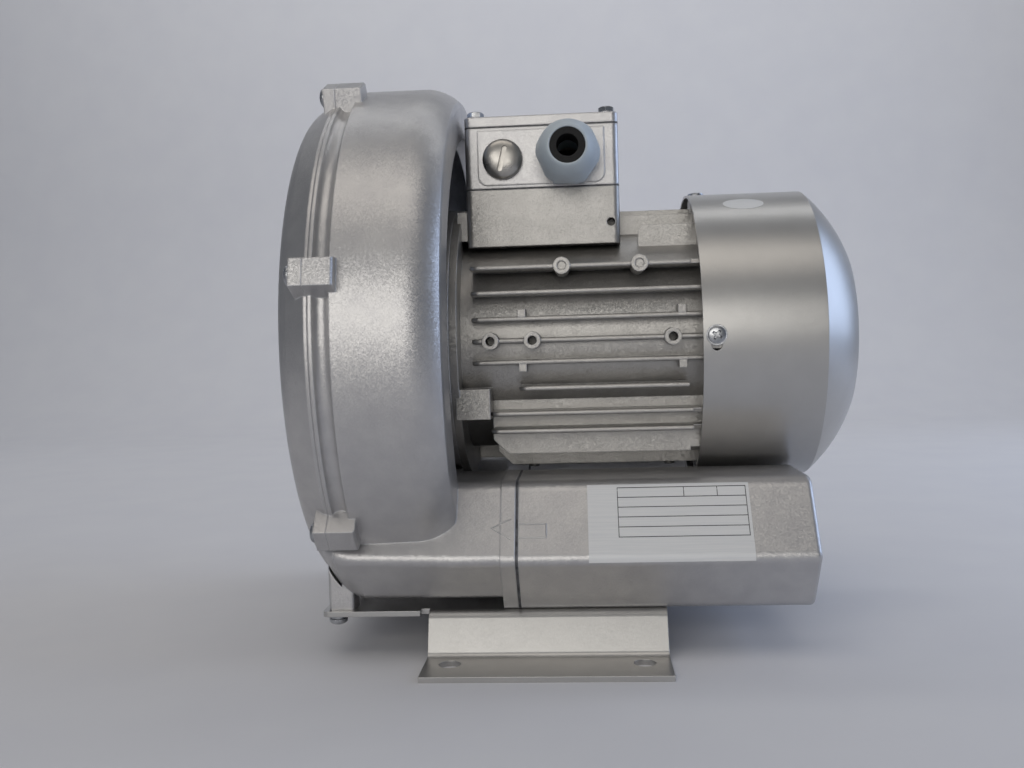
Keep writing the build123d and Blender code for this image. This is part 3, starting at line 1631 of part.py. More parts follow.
def make_silencer_gasket():
    section = silencer_section()
    body = extrude(Plane.YZ.offset(joint_x) * section, gasket_thickness)
    body -= saddle(joint_x, silencer_start_x())
    body -= rod((joint_x, port_y, port_z), (silencer_start_x(), port_y, port_z), duct_bore_radius)
    for y, z in tie_screw_places():
        body -= rod((joint_x, y, z), (silencer_start_x(), y, z), tie_screw_radius)
    return body


def make_silencer_screws():
    seat_x = silencer_end_x - tie_screw_head_height
    screws = []
    for y, z in tie_screw_places():
        screw = cap_screw(
            (seat_x, y, z),
            (joint_x - tie_screw_depth, y, z),
            tie_screw_radius,
            tie_screw_head_radius,
            tie_screw_head_height,
        )
        screws += both_sides(screw)
    return solids_of(*screws)


def make_foot_plate():
    top = foot_top_z
    half_sheet = foot_sheet / 2
    # The middle line of the bent sheet, from flange to flange
    line = FilletPolyline(
        (-foot_half_width, half_sheet),
        (-foot_wall_base_y, half_sheet),
        (-foot_top_half_width + half_sheet, top - half_sheet),
        (foot_top_half_width - half_sheet, top - half_sheet),
        (foot_wall_base_y, half_sheet),
        (foot_half_width, half_sheet),
        radius=foot_bend_radius,
    )
    body = extrude(Plane.YZ.offset(foot_start_x) * trace(line, foot_sheet), foot_length)
    tongue = block(
        (tongue_front_x, foot_start_x + tongue_notch),
        (tongue_inner_y, foot_top_half_width - foot_bend_radius),
        (top - foot_sheet, top),
    )
    tongue += block(
        (tongue_front_x, foot_start_x - tongue_notch),
        (foot_top_half_width - foot_bend_radius * 2, foot_top_half_width),
        (top - foot_sheet, top),
    )
    front_corners = tongue.edges().filter_by(Axis.Z).group_by(Axis.X)[0]
    body += both_sides(fillet(front_corners, 3.0))
    # The middle is cut away where the casing hangs lower than the sheet
    slot_end_x = casing_back_x + foot_slot_clearance
    body -= block((foot_start_x, slot_end_x), (-tongue_inner_y, tongue_inner_y), (0, top))
    for x in (-foot_hole_spacing_x / 2, foot_hole_spacing_x / 2):
        y = foot_hole_spacing_y / 2
        body -= both_sides(rod((x, y, 0), (x, y, foot_sheet), foot_hole_radius))
    for x, y in ((front_foot_screw_x, front_foot_screw_y), (rear_foot_screw_x, rear_foot_screw_y)):
        body -= both_sides(rod((x, y, top - foot_sheet), (x, y, top), foot_screw_radius))
    return body


def foot_screw(x, y, tip_z, washer_thickness=0.0):
    # A screw from below, with the spring washer held on it where it has one.
    sheet_z = foot_top_z - foot_sheet
    seat = (x, y, sheet_z - washer_thickness)
    screw = pan_screw(
        seat, (x, y, tip_z), foot_screw_radius, foot_screw_head_radius, foot_screw_head_height
    )
    if washer_thickness > 0:
        screw += rod(seat, (x, y, sheet_z), foot_washer_radius)
    return screw


def make_foot_screws():
    front = foot_screw(
        front_foot_screw_x, front_foot_screw_y, foot_screw_tip_z(), foot_washer_thickness
    )
    rear = foot_screw(rear_foot_screw_x, rear_foot_screw_y, foot_top_z + rear_foot_screw_inset)
    return solids_of(*(both_sides(front) + both_sides(rear)))


def near_side(piece):
    return mirror(piece, Plane.XZ)


front_bearing = make_bearing(
    front_bearing_x, front_bearing_width, shaft_front_radius, front_bearing_radius, front_ball_count
)
rear_bearing = make_bearing(
    rear_bearing_x, rear_bearing_width, shaft_rear_radius, rear_bearing_radius, rear_ball_count
)
silencer = make_silencer()
silencer_liner = make_silencer_liner()
silencer_gasket = make_silencer_gasket()

nodes = {
    "blower_cover": make_blower_cover(),
    "blower_housing": make_blower_housing(),
    "casing_screws": make_casing_screws(),
    "impeller": make_impeller(),
    "impeller_key": make_impeller_key(),
    "impeller_washer": make_impeller_washer(),
    "impeller_screw": make_impeller_screw(),
    "shaft": make_shaft(),
    "shaft_seal": make_shaft_seal(),
    "front_bearing_inner_ring": front_bearing[0],
    "front_bearing_outer_ring": front_bearing[1],
    "front_bearing_balls": front_bearing[2],
    "front_bearing_cage": front_bearing[3],
    "rear_bearing_inner_ring": rear_bearing[0],
    "rear_bearing_outer_ring": rear_bearing[1],
    "rear_bearing_balls": rear_bearing[2],
    "rear_bearing_cage": rear_bearing[3],
    "wave_spring": make_wave_spring(),
    "motor_frame": make_motor_frame(),
    "motor_screws": make_motor_screws(),
    "stator_core": make_stator_core(),
    "stator_windings": make_stator_windings(),
    "rotor_core": make_rotor_core(),
    "rotor_cage": make_rotor_cage(),
    "end_shield": make_end_shield(),
    "end_shield_screws": make_shield_screws(),
    "cooling_fan": make_cooling_fan(),
    "fan_clip": make_fan_clip(),
    "fan_cover": make_fan_cover(),
    "fan_cover_screws": make_fan_cover_screws(),
    "fan_cover_washers": make_fan_cover_washers(),
    "terminal_box": make_terminal_box(),
    "terminal_box_gasket": gasket_at(base_top_z),
    "terminal_lid": make_terminal_lid(),
    "terminal_lid_gasket": gasket_at(box_top_z),
    "terminal_lid_screws": make_lid_screws(),
    "gland_body": make_gland_body(),
    "gland_nut": make_gland_nut(),
    "gland_seal": make_gland_seal(),
    "gland_locknut": make_gland_locknut(),
    "blanking_plug": make_blanking_plug(),
    "blanking_plug_ring": make_plug_ring(),
    "terminal_board": make_terminal_board(),
    "terminal_board_screws": make_board_screws(),
    "terminal_studs": make_terminal_studs(),
    "terminal_links": make_terminal_links(),
    "terminal_nuts": make_terminal_nuts(),
    "earth_screw": make_earth_screw(),
    "inlet_silencer": near_side(silencer),
    "outlet_silencer": silencer,
    "inlet_silencer_liner": near_side(silencer_liner),
    "outlet_silencer_liner": silencer_liner,
    "inlet_gasket": near_side(silencer_gasket),
    "outlet_gasket": silencer_gasket,
    "silencer_screws": make_silencer_screws(),
    "foot_plate": make_foot_plate(),
    "foot_screws": make_foot_screws(),
}

os.makedirs("parts", exist_ok=True)
for name, shape in nodes.items():
    export_step(shape, f"parts/{name}.step")
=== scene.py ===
import json
import math

import bmesh
import bpy
from mathutils import Matrix, Vector
from mathutils.bvhtree import BVHTree


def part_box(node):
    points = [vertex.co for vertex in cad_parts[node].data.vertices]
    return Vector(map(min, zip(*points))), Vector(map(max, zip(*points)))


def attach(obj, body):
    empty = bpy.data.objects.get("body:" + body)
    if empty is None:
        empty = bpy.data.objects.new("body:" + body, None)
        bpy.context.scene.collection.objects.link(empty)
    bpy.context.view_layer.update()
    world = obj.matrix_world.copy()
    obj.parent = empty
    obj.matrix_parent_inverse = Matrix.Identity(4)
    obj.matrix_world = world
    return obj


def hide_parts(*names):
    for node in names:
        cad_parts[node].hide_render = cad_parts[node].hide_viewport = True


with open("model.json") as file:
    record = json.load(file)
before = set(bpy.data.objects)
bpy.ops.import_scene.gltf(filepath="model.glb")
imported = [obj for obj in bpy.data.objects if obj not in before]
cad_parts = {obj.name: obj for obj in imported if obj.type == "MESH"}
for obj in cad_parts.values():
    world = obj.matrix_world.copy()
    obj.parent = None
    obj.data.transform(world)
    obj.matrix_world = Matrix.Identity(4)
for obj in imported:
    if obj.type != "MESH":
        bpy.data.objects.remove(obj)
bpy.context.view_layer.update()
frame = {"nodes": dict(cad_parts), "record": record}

mm = 0.001
shaftHeight = 140 * mm
spare = 1 * mm  # how far a cutting body reaches past what it cuts
print("frame loaded:", len(frame["nodes"]), "nodes")


def linear(hexColour):
    # sRGB hex to the linear colour that Blender works in
    channels = [int(hexColour[i:i + 2], 16) / 255 for i in (1, 3, 5)]
    light = [c / 12.92 if c <= 0.04045 else ((c + 0.055) / 1.055) ** 2.4 for c in channels]
    return (*light, 1.0)


def perMetre(sizeMm):
    # texture scale for a pattern whose grains are this many millimetres apart
    return 1000.0 / sizeMm


def addNode(tree, kind, settings=None, values=None, links=None):
    node = tree.nodes.new(kind)
    for key, value in (settings or {}).items():
        setattr(node, key, value)
    for socket, value in (values or {}).items():
        node.inputs[socket].default_value = value
    for socket, source in (links or {}).items():
        tree.links.new(source, node.inputs[socket])
    return node


def newMaterial(name, shaderValues):
    material = bpy.data.materials.new(name)
    material.use_nodes = True
    tree = material.node_tree
    tree.nodes.clear()
    shader = addNode(tree, "ShaderNodeBsdfPrincipled", values=shaderValues)
    addNode(tree, "ShaderNodeOutputMaterial", links={"Surface": shader.outputs["BSDF"]})
    return material, tree, shader


def rampStops(node, stops):
    # stops: list of (place, hex colour)
    ramp = node.color_ramp
    while len(ramp.elements) > 1:
        ramp.elements.remove(ramp.elements[-1])
    for i, (place, colour) in enumerate(stops):
        element = ramp.elements[0] if i == 0 else ramp.elements.new(place)
        element.position = place
        element.color = linear(colour)
    return node


# a Mix node's colour sockets share their names with its other sockets, so they go by number
mixFactor, mixLow, mixHigh, mixResult = 0, 6, 7, 2
noiseSpan = (0.3, 0.7)  # a noise texture hardly leaves these values
recessShadeSpan = (0.08, 0.5)  # share of open surroundings where the painted recess shade is full, and where there is none


def paintedRecessShade(tree, colour, reachMm, recessShadeColour):
    # bores, slots and corners that are shut in on all sides are painted darker: painted shade, the more
    # shut in the darker
    shut = addNode(tree, "ShaderNodeAmbientOcclusion", {"samples": 6, "only_local": True},
                   {"Distance": reachMm * mm})
    daylight = addNode(tree, "ShaderNodeMapRange",
                       values={"From Min": recessShadeSpan[0], "From Max": recessShadeSpan[1]},
                       links={"Value": shut.outputs["AO"]})
    mixed = addNode(tree, "ShaderNodeMix", {"data_type": "RGBA"}, {mixLow: linear(recessShadeColour)},
                    {mixFactor: daylight.outputs["Result"], mixHigh: colour})
    return mixed.outputs[mixResult]


castingLook = {
    "paint": "#cac9c9", "paintLow": "#c3c2c3", "wornEdgeAndHighlight": "#eeeff1",
    "metallic": 0.90, "roughness": 0.40, "roughSpread": 0.10,
    "grainMm": 0.6, "grainHeightMm": 0.028, "peelMm": 9.0, "peelHeightMm": 0.015,
    "flakeMm": 0.5, "flakeTilt": 0.13, "edgeMm": 0.9,
}
motorLook = {
    "paint": "#bab8b5", "paintLow": "#b2b0ad", "wornEdgeAndHighlight": "#ebecee",
    "metallic": 0.88, "roughness": 0.42, "roughSpread": 0.10,
    "grainMm": 0.6, "grainHeightMm": 0.032, "peelMm": 9.0, "peelHeightMm": 0.015,
    "flakeMm": 0.5, "flakeTilt": 0.15, "edgeMm": 0.7,
}
sheetLook = {
    "paint": "#c3c2c0", "paintLow": "#bfbebc", "wornEdgeAndHighlight": "#e2e3e5",
    "metallic": 0.92, "roughness": 0.35, "roughSpread": 0.03,
    "grainMm": 0.7, "grainHeightMm": 0.004, "peelMm": 14.0, "peelHeightMm": 0.008,
    "flakeMm": 0.5, "flakeTilt": 0.03, "edgeMm": 0.45,
}
# what differs from the casting where the spray only dusted the edge of a rubber gasket
gasketLook = {
    "paint": "#6f7073", "paintLow": "#3c3d40", "wornEdgeAndHighlight": "#8e8f92",
    "metallic": 0.4, "roughness": 0.6, "peelMm": 3.0,
}
lacquerFilm = {
    # recessMm and the dark colour after it set the painted shade in shut-in recesses
    "coat": 0.15, "coatRoughness": 0.3, "recessMm": 5.0, "recessShadeColour": "#1d1c1c",
    # cosine between the rounded and the flat normal where the edge wear and painted edge highlight start,
    # and where they are full
    "wearAndHighlightSpan": (0.995, 0.86),
}


def silverLacquer(name, look):
    # Aluminium-flake lacquer: the flakes glint one by one, the sand-cast skin under it
    # breaks the gloss up, and the film thins to bright metal along the edges, which are also painted
    # lighter as an edge highlight.
    # Real flakes are about 0.05 mm: they are drawn far coarser here, so that they show.
    film = lacquerFilm
    material, tree, shader = newMaterial(name, {"Metallic": look["metallic"], "Coat Weight": film["coat"],
                                                "Coat Roughness": film["coatRoughness"]})
    place = addNode(tree, "ShaderNodeTexCoord").outputs["Object"]
    grain = addNode(tree, "ShaderNodeTexNoise",
                    values={"Scale": perMetre(look["grainMm"]), "Detail": 3.0, "Roughness": 0.6},
                    links={"Vector": place})
    peel = addNode(tree, "ShaderNodeTexNoise", values={"Scale": perMetre(look["peelMm"]), "Detail": 2.0},
                   links={"Vector": place})
    flakes = addNode(tree, "ShaderNodeTexVoronoi", values={"Scale": perMetre(look["flakeMm"])},
                     links={"Vector": place})
    # the edges, from how far a rounded normal leans away from the flat one
    rounded = addNode(tree, "ShaderNodeBevel", {"samples": 4}, {"Radius": look["edgeMm"] * mm})
    flat = addNode(tree, "ShaderNodeNewGeometry")
    lean = addNode(tree, "ShaderNodeVectorMath", {"operation": "DOT_PRODUCT"},
                   links={0: rounded.outputs["Normal"], 1: flat.outputs["Normal"]})
    edge = addNode(tree, "ShaderNodeMapRange",
                   values={"From Min": film["wearAndHighlightSpan"][0], "From Max": film["wearAndHighlightSpan"][1]},
                   links={"Value": lean.outputs["Value"]})
    wearAndHighlight = addNode(tree, "ShaderNodeMath", {"operation": "MULTIPLY"},
                   links={0: edge.outputs["Result"], 1: grain.outputs["Fac"]})
    colour = rampStops(addNode(tree, "ShaderNodeValToRGB", links={"Fac": peel.outputs["Fac"]}),
                       [(0.35, look["paintLow"]), (0.65, look["paint"])])
    # the edges are lighter: partly wear, partly painted highlight
    wornAndHighlit = addNode(tree, "ShaderNodeMix", {"data_type": "RGBA"}, {mixHigh: linear(look["wornEdgeAndHighlight"])},
                   {mixFactor: wearAndHighlight.outputs["Value"], mixLow: colour.outputs["Color"]})
    # bores and corners are darkened here: painted shade
    shadedInRecesses = paintedRecessShade(tree, wornAndHighlit.outputs[mixResult], film["recessMm"], film["recessShadeColour"])
    tree.links.new(shadedInRecesses, shader.inputs["Base Color"])
    spread = look["roughSpread"] / 2
    rough = addNode(tree, "ShaderNodeMapRange",
                    values={"From Min": noiseSpan[0], "From Max": noiseSpan[1],
                            "To Min": look["roughness"] - spread, "To Max": look["roughness"] + spread},
                    links={"Value": grain.outputs["Fac"]})
    tree.links.new(rough.outputs["Result"], shader.inputs["Roughness"])
    # each flake lies a little differently
    centred = addNode(tree, "ShaderNodeVectorMath", {"operation": "SUBTRACT"}, {1: (0.5, 0.5, 0.5)},
                      {0: flakes.outputs["Color"]})
    tilt = addNode(tree, "ShaderNodeVectorMath", {"operation": "SCALE"}, {"Scale": look["flakeTilt"]},
                   {0: centred.outputs["Vector"]})
    tilted = addNode(tree, "ShaderNodeVectorMath", {"operation": "ADD"},
                     links={0: rounded.outputs["Normal"], 1: tilt.outputs["Vector"]})
    unit = addNode(tree, "ShaderNodeVectorMath", {"operation": "NORMALIZE"},
                   links={0: tilted.outputs["Vector"]})
    peelBump = addNode(tree, "ShaderNodeBump",
                       values={"Distance": look["peelHeightMm"] * mm, "Strength": 1.0},
                       links={"Height": peel.outputs["Fac"], "Normal": unit.outputs["Vector"]})
    grainBump = addNode(tree, "ShaderNodeBump",
                        values={"Distance": look["grainHeightMm"] * mm, "Strength": 1.0},
                        links={"Height": grain.outputs["Fac"], "Normal": peelBump.outputs["Normal"]})
    tree.links.new(grainBump.outputs["Normal"], shader.inputs["Normal"])
    return material


metalLooks = {
    # zinc plate on steel: a thin bluish bright skin with cloudy patches
    "zincPlatedSteel": {"slot": "zinc_steel", "bright": "#c4c6c9", "dull": "#a0a2a6",
                        "roughness": 0.28, "cloudMm": 2.5, "lineMm": 0.0},
    # ground and turned steel: fine rings left by the tool
    "turnedSteel": {"slot": "steel", "bright": "#b4b4b2", "dull": "#969693",
                    "roughness": 0.30, "cloudMm": 6.0, "lineMm": 0.5},
    # hardened, ground and polished bearing steel: nearly a mirror
    "groundBearingSteel": {"slot": "bearing_steel", "bright": "#cdcdcb", "dull": "#bdbdbb",
                           "roughness": 0.16, "cloudMm": 5.0, "lineMm": 0.4},
    # pressed strip of the bearing cages: warm grey and satin
    "pressedSteelStrip": {"slot": "cage_steel", "bright": "#b3b0a8", "dull": "#99968e",
                          "roughness": 0.34, "cloudMm": 3.0, "lineMm": 0.0},
    # machined aluminium: pale, with the marks of the cutter
    "machinedAluminium": {"slot": "raw_aluminium", "bright": "#c3c4c6", "dull": "#aeafb1",
                          "roughness": 0.30, "cloudMm": 4.0, "lineMm": 0.6},
    # stacked electrical sheet: dark, oily, with the layers showing as lines
    "laminatedSheetSteel": {"slot": "lamination", "bright": "#6d6f74", "dull": "#55575b",
                            "roughness": 0.42, "cloudMm": 4.0, "lineMm": 0.5},
    # enamelled copper wire, wound in a bundle: reddish brown and glossy
    "enamelledCopperWire": {"slot": "copper", "bright": "#a8582f", "dull": "#7c3b1e",
                            "roughness": 0.35, "cloudMm": 2.0, "lineMm": 0.9},
    # turned brass: yellow, with a soft shine
    "turnedBrass": {"slot": "brass", "bright": "#c9a85c", "dull": "#a98a48",
                    "roughness": 0.27, "cloudMm": 3.0, "lineMm": 0.4},
    # satin nickel plate: a warm even silver
    "nickelPlate": {"slot": "nickel", "bright": "#c2bfba", "dull": "#b3b0ab",
                    "roughness": 0.30, "cloudMm": 5.0, "lineMm": 0.0},
}
metalSkin = {"fineMm": 0.35, "fineHeightMm": 0.012, "lineHeightMm": 0.015, "edgeMm": 0.15,
             # recessMm and the dark colour after it set the painted shade in shut-in recesses
             "duller": 1.3, "brighter": 0.8, "recessMm": 1.5, "recessShadeColour": "#2a2a2b"}
waveUnits = 20  # a wave texture multiplies its scale by this


def bareMetal(name, look):
    # fine uneven skin, and where lineMm isn't 0 tool rings or sheet layers across the shaft;
    # both are drawn coarser than real, so that they show
    skin = metalSkin
    material, tree, shader = newMaterial(name, {"Metallic": 1.0})
    place = addNode(tree, "ShaderNodeTexCoord").outputs["Object"]
    cloud = addNode(tree, "ShaderNodeTexNoise", values={"Scale": perMetre(look["cloudMm"]), "Detail": 4.0},
                    links={"Vector": place})
    colour = rampStops(addNode(tree, "ShaderNodeValToRGB", links={"Fac": cloud.outputs["Fac"]}),
                       [(0.35, look["dull"]), (0.65, look["bright"])])
    # bores and recesses are darkened here: painted shade
    shadedInRecesses = paintedRecessShade(tree, colour.outputs["Color"], skin["recessMm"], skin["recessShadeColour"])
    tree.links.new(shadedInRecesses, shader.inputs["Base Color"])
    rough = addNode(tree, "ShaderNodeMapRange",
                    values={"From Min": noiseSpan[0], "From Max": noiseSpan[1],
                            "To Min": look["roughness"] * skin["duller"],
                            "To Max": look["roughness"] * skin["brighter"]},
                    links={"Value": cloud.outputs["Fac"]})
    tree.links.new(rough.outputs["Result"], shader.inputs["Roughness"])
    fine = addNode(tree, "ShaderNodeTexNoise", values={"Scale": perMetre(skin["fineMm"]), "Detail": 2.0},
                   links={"Vector": place})
    rounded = addNode(tree, "ShaderNodeBevel", {"samples": 4}, {"Radius": skin["edgeMm"] * mm})
    bump = addNode(tree, "ShaderNodeBump", values={"Distance": skin["fineHeightMm"] * mm, "Strength": 1.0},
                   links={"Height": fine.outputs["Fac"], "Normal": rounded.outputs["Normal"]})
    if look["lineMm"]:
        lines = addNode(tree, "ShaderNodeTexWave", {"wave_type": "BANDS", "bands_direction": "X"},
                        {"Scale": perMetre(look["lineMm"]) / waveUnits, "Distortion": 0.6, "Detail": 1.0},
                        {"Vector": place})
        bump = addNode(tree, "ShaderNodeBump",
                       values={"Distance": skin["lineHeightMm"] * mm, "Strength": 1.0},
                       links={"Height": lines.outputs["Fac"], "Normal": bump.outputs["Normal"]})
    tree.links.new(bump.outputs["Normal"], shader.inputs["Normal"])
    return material


plasticLooks = {
    # glass-filled polyamide of the fan, moulded: black with a dull sheen
    "mouldedFanPolyamide": {"slot": "fan_plastic", "light": "#2b2c2e", "dark": "#1f2022",
                            "roughness": 0.5, "ior": 1.53, "grainMm": 0.7, "heightMm": 0.02},
    # moulded nitrile rubber: matt black
    "mouldedRubber": {"slot": "black_rubber", "light": "#0e0e0f", "dark": "#080809",
                      "roughness": 0.72, "ior": 1.52, "grainMm": 0.6, "heightMm": 0.02},
    # open-cell acoustic foam: charcoal and full of pores
    "openCellFoam": {"slot": "foam", "light": "#3d3e41", "dark": "#1c1d1f",
                     "roughness": 0.95, "ior": 1.45, "grainMm": 1.6, "heightMm": 0.5},
    # polyamide of the gland, moulded: waxy light blue-grey with a soft sheen
    "mouldedPolyamide": {"slot": "gland_plastic", "light": "#c3ced6", "dark": "#bcc7d0",
                         "roughness": 0.40, "ior": 1.53, "grainMm": 0.8, "heightMm": 0.015},
    # phenolic resin of the terminal board, pressed: brownish black and slightly grainy
    "pressedPhenolic": {"slot": "board_plastic", "light": "#3a2f2a", "dark": "#2b231f",
                        "roughness": 0.45, "ior": 1.6, "grainMm": 0.6, "heightMm": 0.02},
}
plasticSkin = {"cloudMm": 12.0, "edgeMm": 0.3, "glossier": 0.85, "duller": 1.15}


def mouldedPart(name, look):
    # the grain that a mould leaves is about 0.1 mm: it is drawn coarser, so that it shows
    skin = plasticSkin
    material, tree, shader = newMaterial(name, {"IOR": look["ior"], "Roughness": look["roughness"]})
    place = addNode(tree, "ShaderNodeTexCoord").outputs["Object"]
    grain = addNode(tree, "ShaderNodeTexNoise", values={"Scale": perMetre(look["grainMm"]), "Detail": 3.0},
                    links={"Vector": place})
    cloud = addNode(tree, "ShaderNodeTexNoise", values={"Scale": perMetre(skin["cloudMm"]), "Detail": 3.0},
                    links={"Vector": place})
    colour = rampStops(addNode(tree, "ShaderNodeValToRGB", links={"Fac": cloud.outputs["Fac"]}),
                       [(0.3, look["dark"]), (0.7, look["light"])])
    tree.links.new(colour.outputs["Color"], shader.inputs["Base Color"])
    rough = addNode(tree, "ShaderNodeMapRange",
                    values={"To Min": look["roughness"] * skin["glossier"],
                            "To Max": min(1.0, look["roughness"] * skin["duller"])},
                    links={"Value": grain.outputs["Fac"]})
    tree.links.new(rough.outputs["Result"], shader.inputs["Roughness"])
    rounded = addNode(tree, "ShaderNodeBevel", {"samples": 4}, {"Radius": skin["edgeMm"] * mm})
    bump = addNode(tree, "ShaderNodeBump", values={"Distance": look["heightMm"] * mm, "Strength": 1.0},
                   links={"Height": grain.outputs["Fac"], "Normal": rounded.outputs["Normal"]})
    tree.links.new(bump.outputs["Normal"], shader.inputs["Normal"])
    return material


slotMaterials = {
    "cast_paint": silverLacquer("silverLacquerOnCasting", castingLook),
    "motor_paint": silverLacquer("silverLacquerOnMotor", motorLook),
    "sheet_paint": silverLacquer("silverLacquerOnSheet", sheetLook),
}
for looks, maker in ((metalLooks, bareMetal), (plasticLooks, mouldedPart)):
    for name, look in looks.items():
        slotMaterials[look["slot"]] = maker(name, look)
# the gaskets were sprayed over with the castings, so their edges are grey and not black
oversprayedRubber = silverLacquer("silverOversprayOnRubber", castingLook | gasketLook)

nodeSlots = {part["node"]: part["material_slot"] for part in frame["record"]["subparts"]}
for name, node in frame["nodes"].items():
    material = oversprayedRubber if name.endswith("_gasket") else slotMaterials[nodeSlots[name]]
    node.data.materials.clear()
    node.data.materials.append(material)
print("materials on", len(frame["nodes"]), "CAD nodes")


def storedMesh(name, mesh):
    # writes a bmesh into mesh data and frees it
    data = bpy.data.meshes.new(name)
    mesh.to_mesh(data)
    mesh.free()
    return data


def inScene(name, data):
    holder = bpy.data.objects.new(name, data)
    bpy.context.scene.collection.objects.link(holder)
    return holder


def finishedPiece(name, mesh, slot, material=None, replaces=(), sharpDegrees=35, body="blower"):
    # turns a bmesh into an object that rides on the blower
    bmesh.ops.recalc_face_normals(mesh, faces=mesh.faces)
    data = storedMesh(name, mesh)
    data.materials.append(material or slotMaterials[slot])
    data.polygons.foreach_set("use_smooth", [True] * len(data.polygons))
    data.set_sharp_from_angle(angle=math.radians(sharpDegrees))
    piece = inScene(name, data)
    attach(piece, body)
    if replaces:
        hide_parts(*replaces)


def lathe(profile, steps):
    # turns (radius, height) points about Z; a radius of 0 closes the end,
    # and a repeated first point closes a ring
    mesh = bmesh.new()
    turns = [2 * math.pi * i / steps for i in range(steps)]
    rings = []
    for radius, height in profile:
        if radius == 0:
            rings.append([mesh.verts.new((0, 0, height))])
        else:
            rings.append([mesh.verts.new((radius * math.cos(turn), radius * math.sin(turn), height))
                          for turn in turns])
    for low, high in zip(rings, rings[1:]):
        for i in range(steps):
            j = (i + 1) % steps
            corners = [low[i % len(low)], low[j % len(low)], high[j % len(high)], high[i % len(high)]]
            mesh.faces.new(list(dict.fromkeys(corners)))
    if profile[0] == profile[-1]:
        bmesh.ops.remove_doubles(mesh, verts=mesh.verts, dist=1e-7)
    return mesh


def prismMesh(outline, low, high):
    # a straight bar along Z with the given outline of (x, y) points
    mesh = bmesh.new()
    floor = [mesh.verts.new((x, y, low)) for x, y in outline]
    roof = [mesh.verts.new((x, y, high)) for x, y in outline]
    mesh.faces.new(floor[::-1])
    mesh.faces.new(roof)
    for i in range(len(outline)):
        j = (i + 1) % len(outline)
        mesh.faces.new((floor[i], floor[j], roof[j], roof[i]))
    return mesh


def combined(first, second, operation):
    # boolean of two bmeshes, as a new bmesh
    blanks = []
    for mesh in (first, second):
        bmesh.ops.recalc_face_normals(mesh, faces=mesh.faces)
        blanks.append(inScene("blank", storedMesh("blank", mesh)))
    cut = blanks[0].modifiers.new("cut", "BOOLEAN")
    cut.operation, cut.object, cut.solver = operation, blanks[1], "EXACT"
    depsgraph = bpy.context.evaluated_depsgraph_get()
    result = bmesh.new()
    result.from_mesh(blanks[0].evaluated_get(depsgraph).to_mesh())
    for blank in blanks:
        data = blank.data
        bpy.data.objects.remove(blank)
        bpy.data.meshes.remove(data)
    return result


def copiesAt(mesh, places):
    # one bmesh holding a copy of mesh at each matrix
    data = storedMesh("copies", mesh)
    whole = bmesh.new()
    for matrix in places:
        start = len(whole.verts)
        whole.from_mesh(data)
        whole.verts.ensure_lookup_table()
        bmesh.ops.transform(whole, matrix=matrix, verts=whole.verts[start:])
    bpy.data.meshes.remove(data)
    return whole


def facing(place, direction, spin=0.0):
    # matrix that puts local Z along a direction at a place
    turn = Vector(direction).to_track_quat("Z", "X").to_matrix().to_4x4()
    return Matrix.Translation(place) @ turn @ Matrix.Rotation(math.radians(spin), 4, "Z")


def aroundShaft(x, radius, degrees):
    # a place round the shaft, the angle counted from the top towards the near side
    turn = math.radians(degrees)
    return Vector((x, -radius * math.sin(turn), shaftHeight + radius * math.cos(turn)))


def crown(radius, height, rim, power, steps):
    # outline of a low dome, from the middle of its top to its rim
    points = [(0, height)]
    for i in range(1, steps):
        turn = math.pi / 2 * i / steps
        points.append((radius * math.sin(turn), rim + (height - rim) * math.cos(turn) ** power))
    return points + [(radius, rim)]


def threadRings(core, outer, pitch, first, length):
    # outline of a thread drawn as rings, starting so many pitches below the seat
    points = []
    for i in range(int((length - first * pitch) / pitch)):
        top = -pitch * (i + first)
        points += [(core, top), (outer, top - pitch / 2)]
    return points


def crossOutline(reach, half, waist):
    # four arms; their inner corners lie at the waist
    return [(reach, -half), (reach, half), (waist, waist), (half, reach),
            (-half, reach), (-waist, waist), (-reach, half), (-reach, -half),
            (-waist, -waist), (-half, -reach), (half, -reach), (waist, -waist)]


def hexagonOutline(corner):
    return [(corner * math.cos(math.pi / 3 * i), corner * math.sin(math.pi / 3 * i)) for i in range(6)]


# sizes in mm, angles in degrees, each washer as (radius, thickness)
panScrew = {
    "headRadius": 4.4, "headHeight": 2.9, "rim": 0.7, "bevel": 0.15, "crownPower": 0.8, "crownSteps": 7,
    "recessReach": 2.5, "recessWidth": 1.05, "recessWaist": 1.5, "recessDepth": 1.7, "recessTaper": 0.55,
    "shankRadius": 2.45, "threadDepth": 0.35, "threadPitch": 0.8, "tipLength": 0.3, "tipStep": 0.4,
    "washerBevel": 0.1, "steps": 36,
}
# what differs on the smaller screws of the fan cover and on those of the foot
lowHead = {"headRadius": 4.0, "headHeight": 1.3, "rim": 0.45, "recessReach": 3.2, "recessWidth": 1.3,
           "recessDepth": 1.1, "shankRadius": 1.95, "threadDepth": 0.3, "threadPitch": 0.7}
footHead = {"headRadius": 4.2, "headHeight": 3.0, "shankRadius": 2.15}

casingScrews = {"count": 7, "circleRadius": 128.7, "spin": 17, "spinStep": 41}
fanCoverScrews = {"count": 4, "length": 8.0, "washer": (4.7, 0.4), "spin": 32, "spinStep": 25}
footScrews = {
    # the front pair hangs lowest, so its seat comes from the box of all four
    "frontFootPanScrews": {"x": -95.3, "y": 77.5, "length": 13.0, "washer": (3.6, 2.0)},
    "rearFootPanScrews": {"x": 26.0, "y": 45.0, "seatZ": 18.5, "length": 6.4, "washer": None},
}
footSpin, footSpinStep = 20, 30


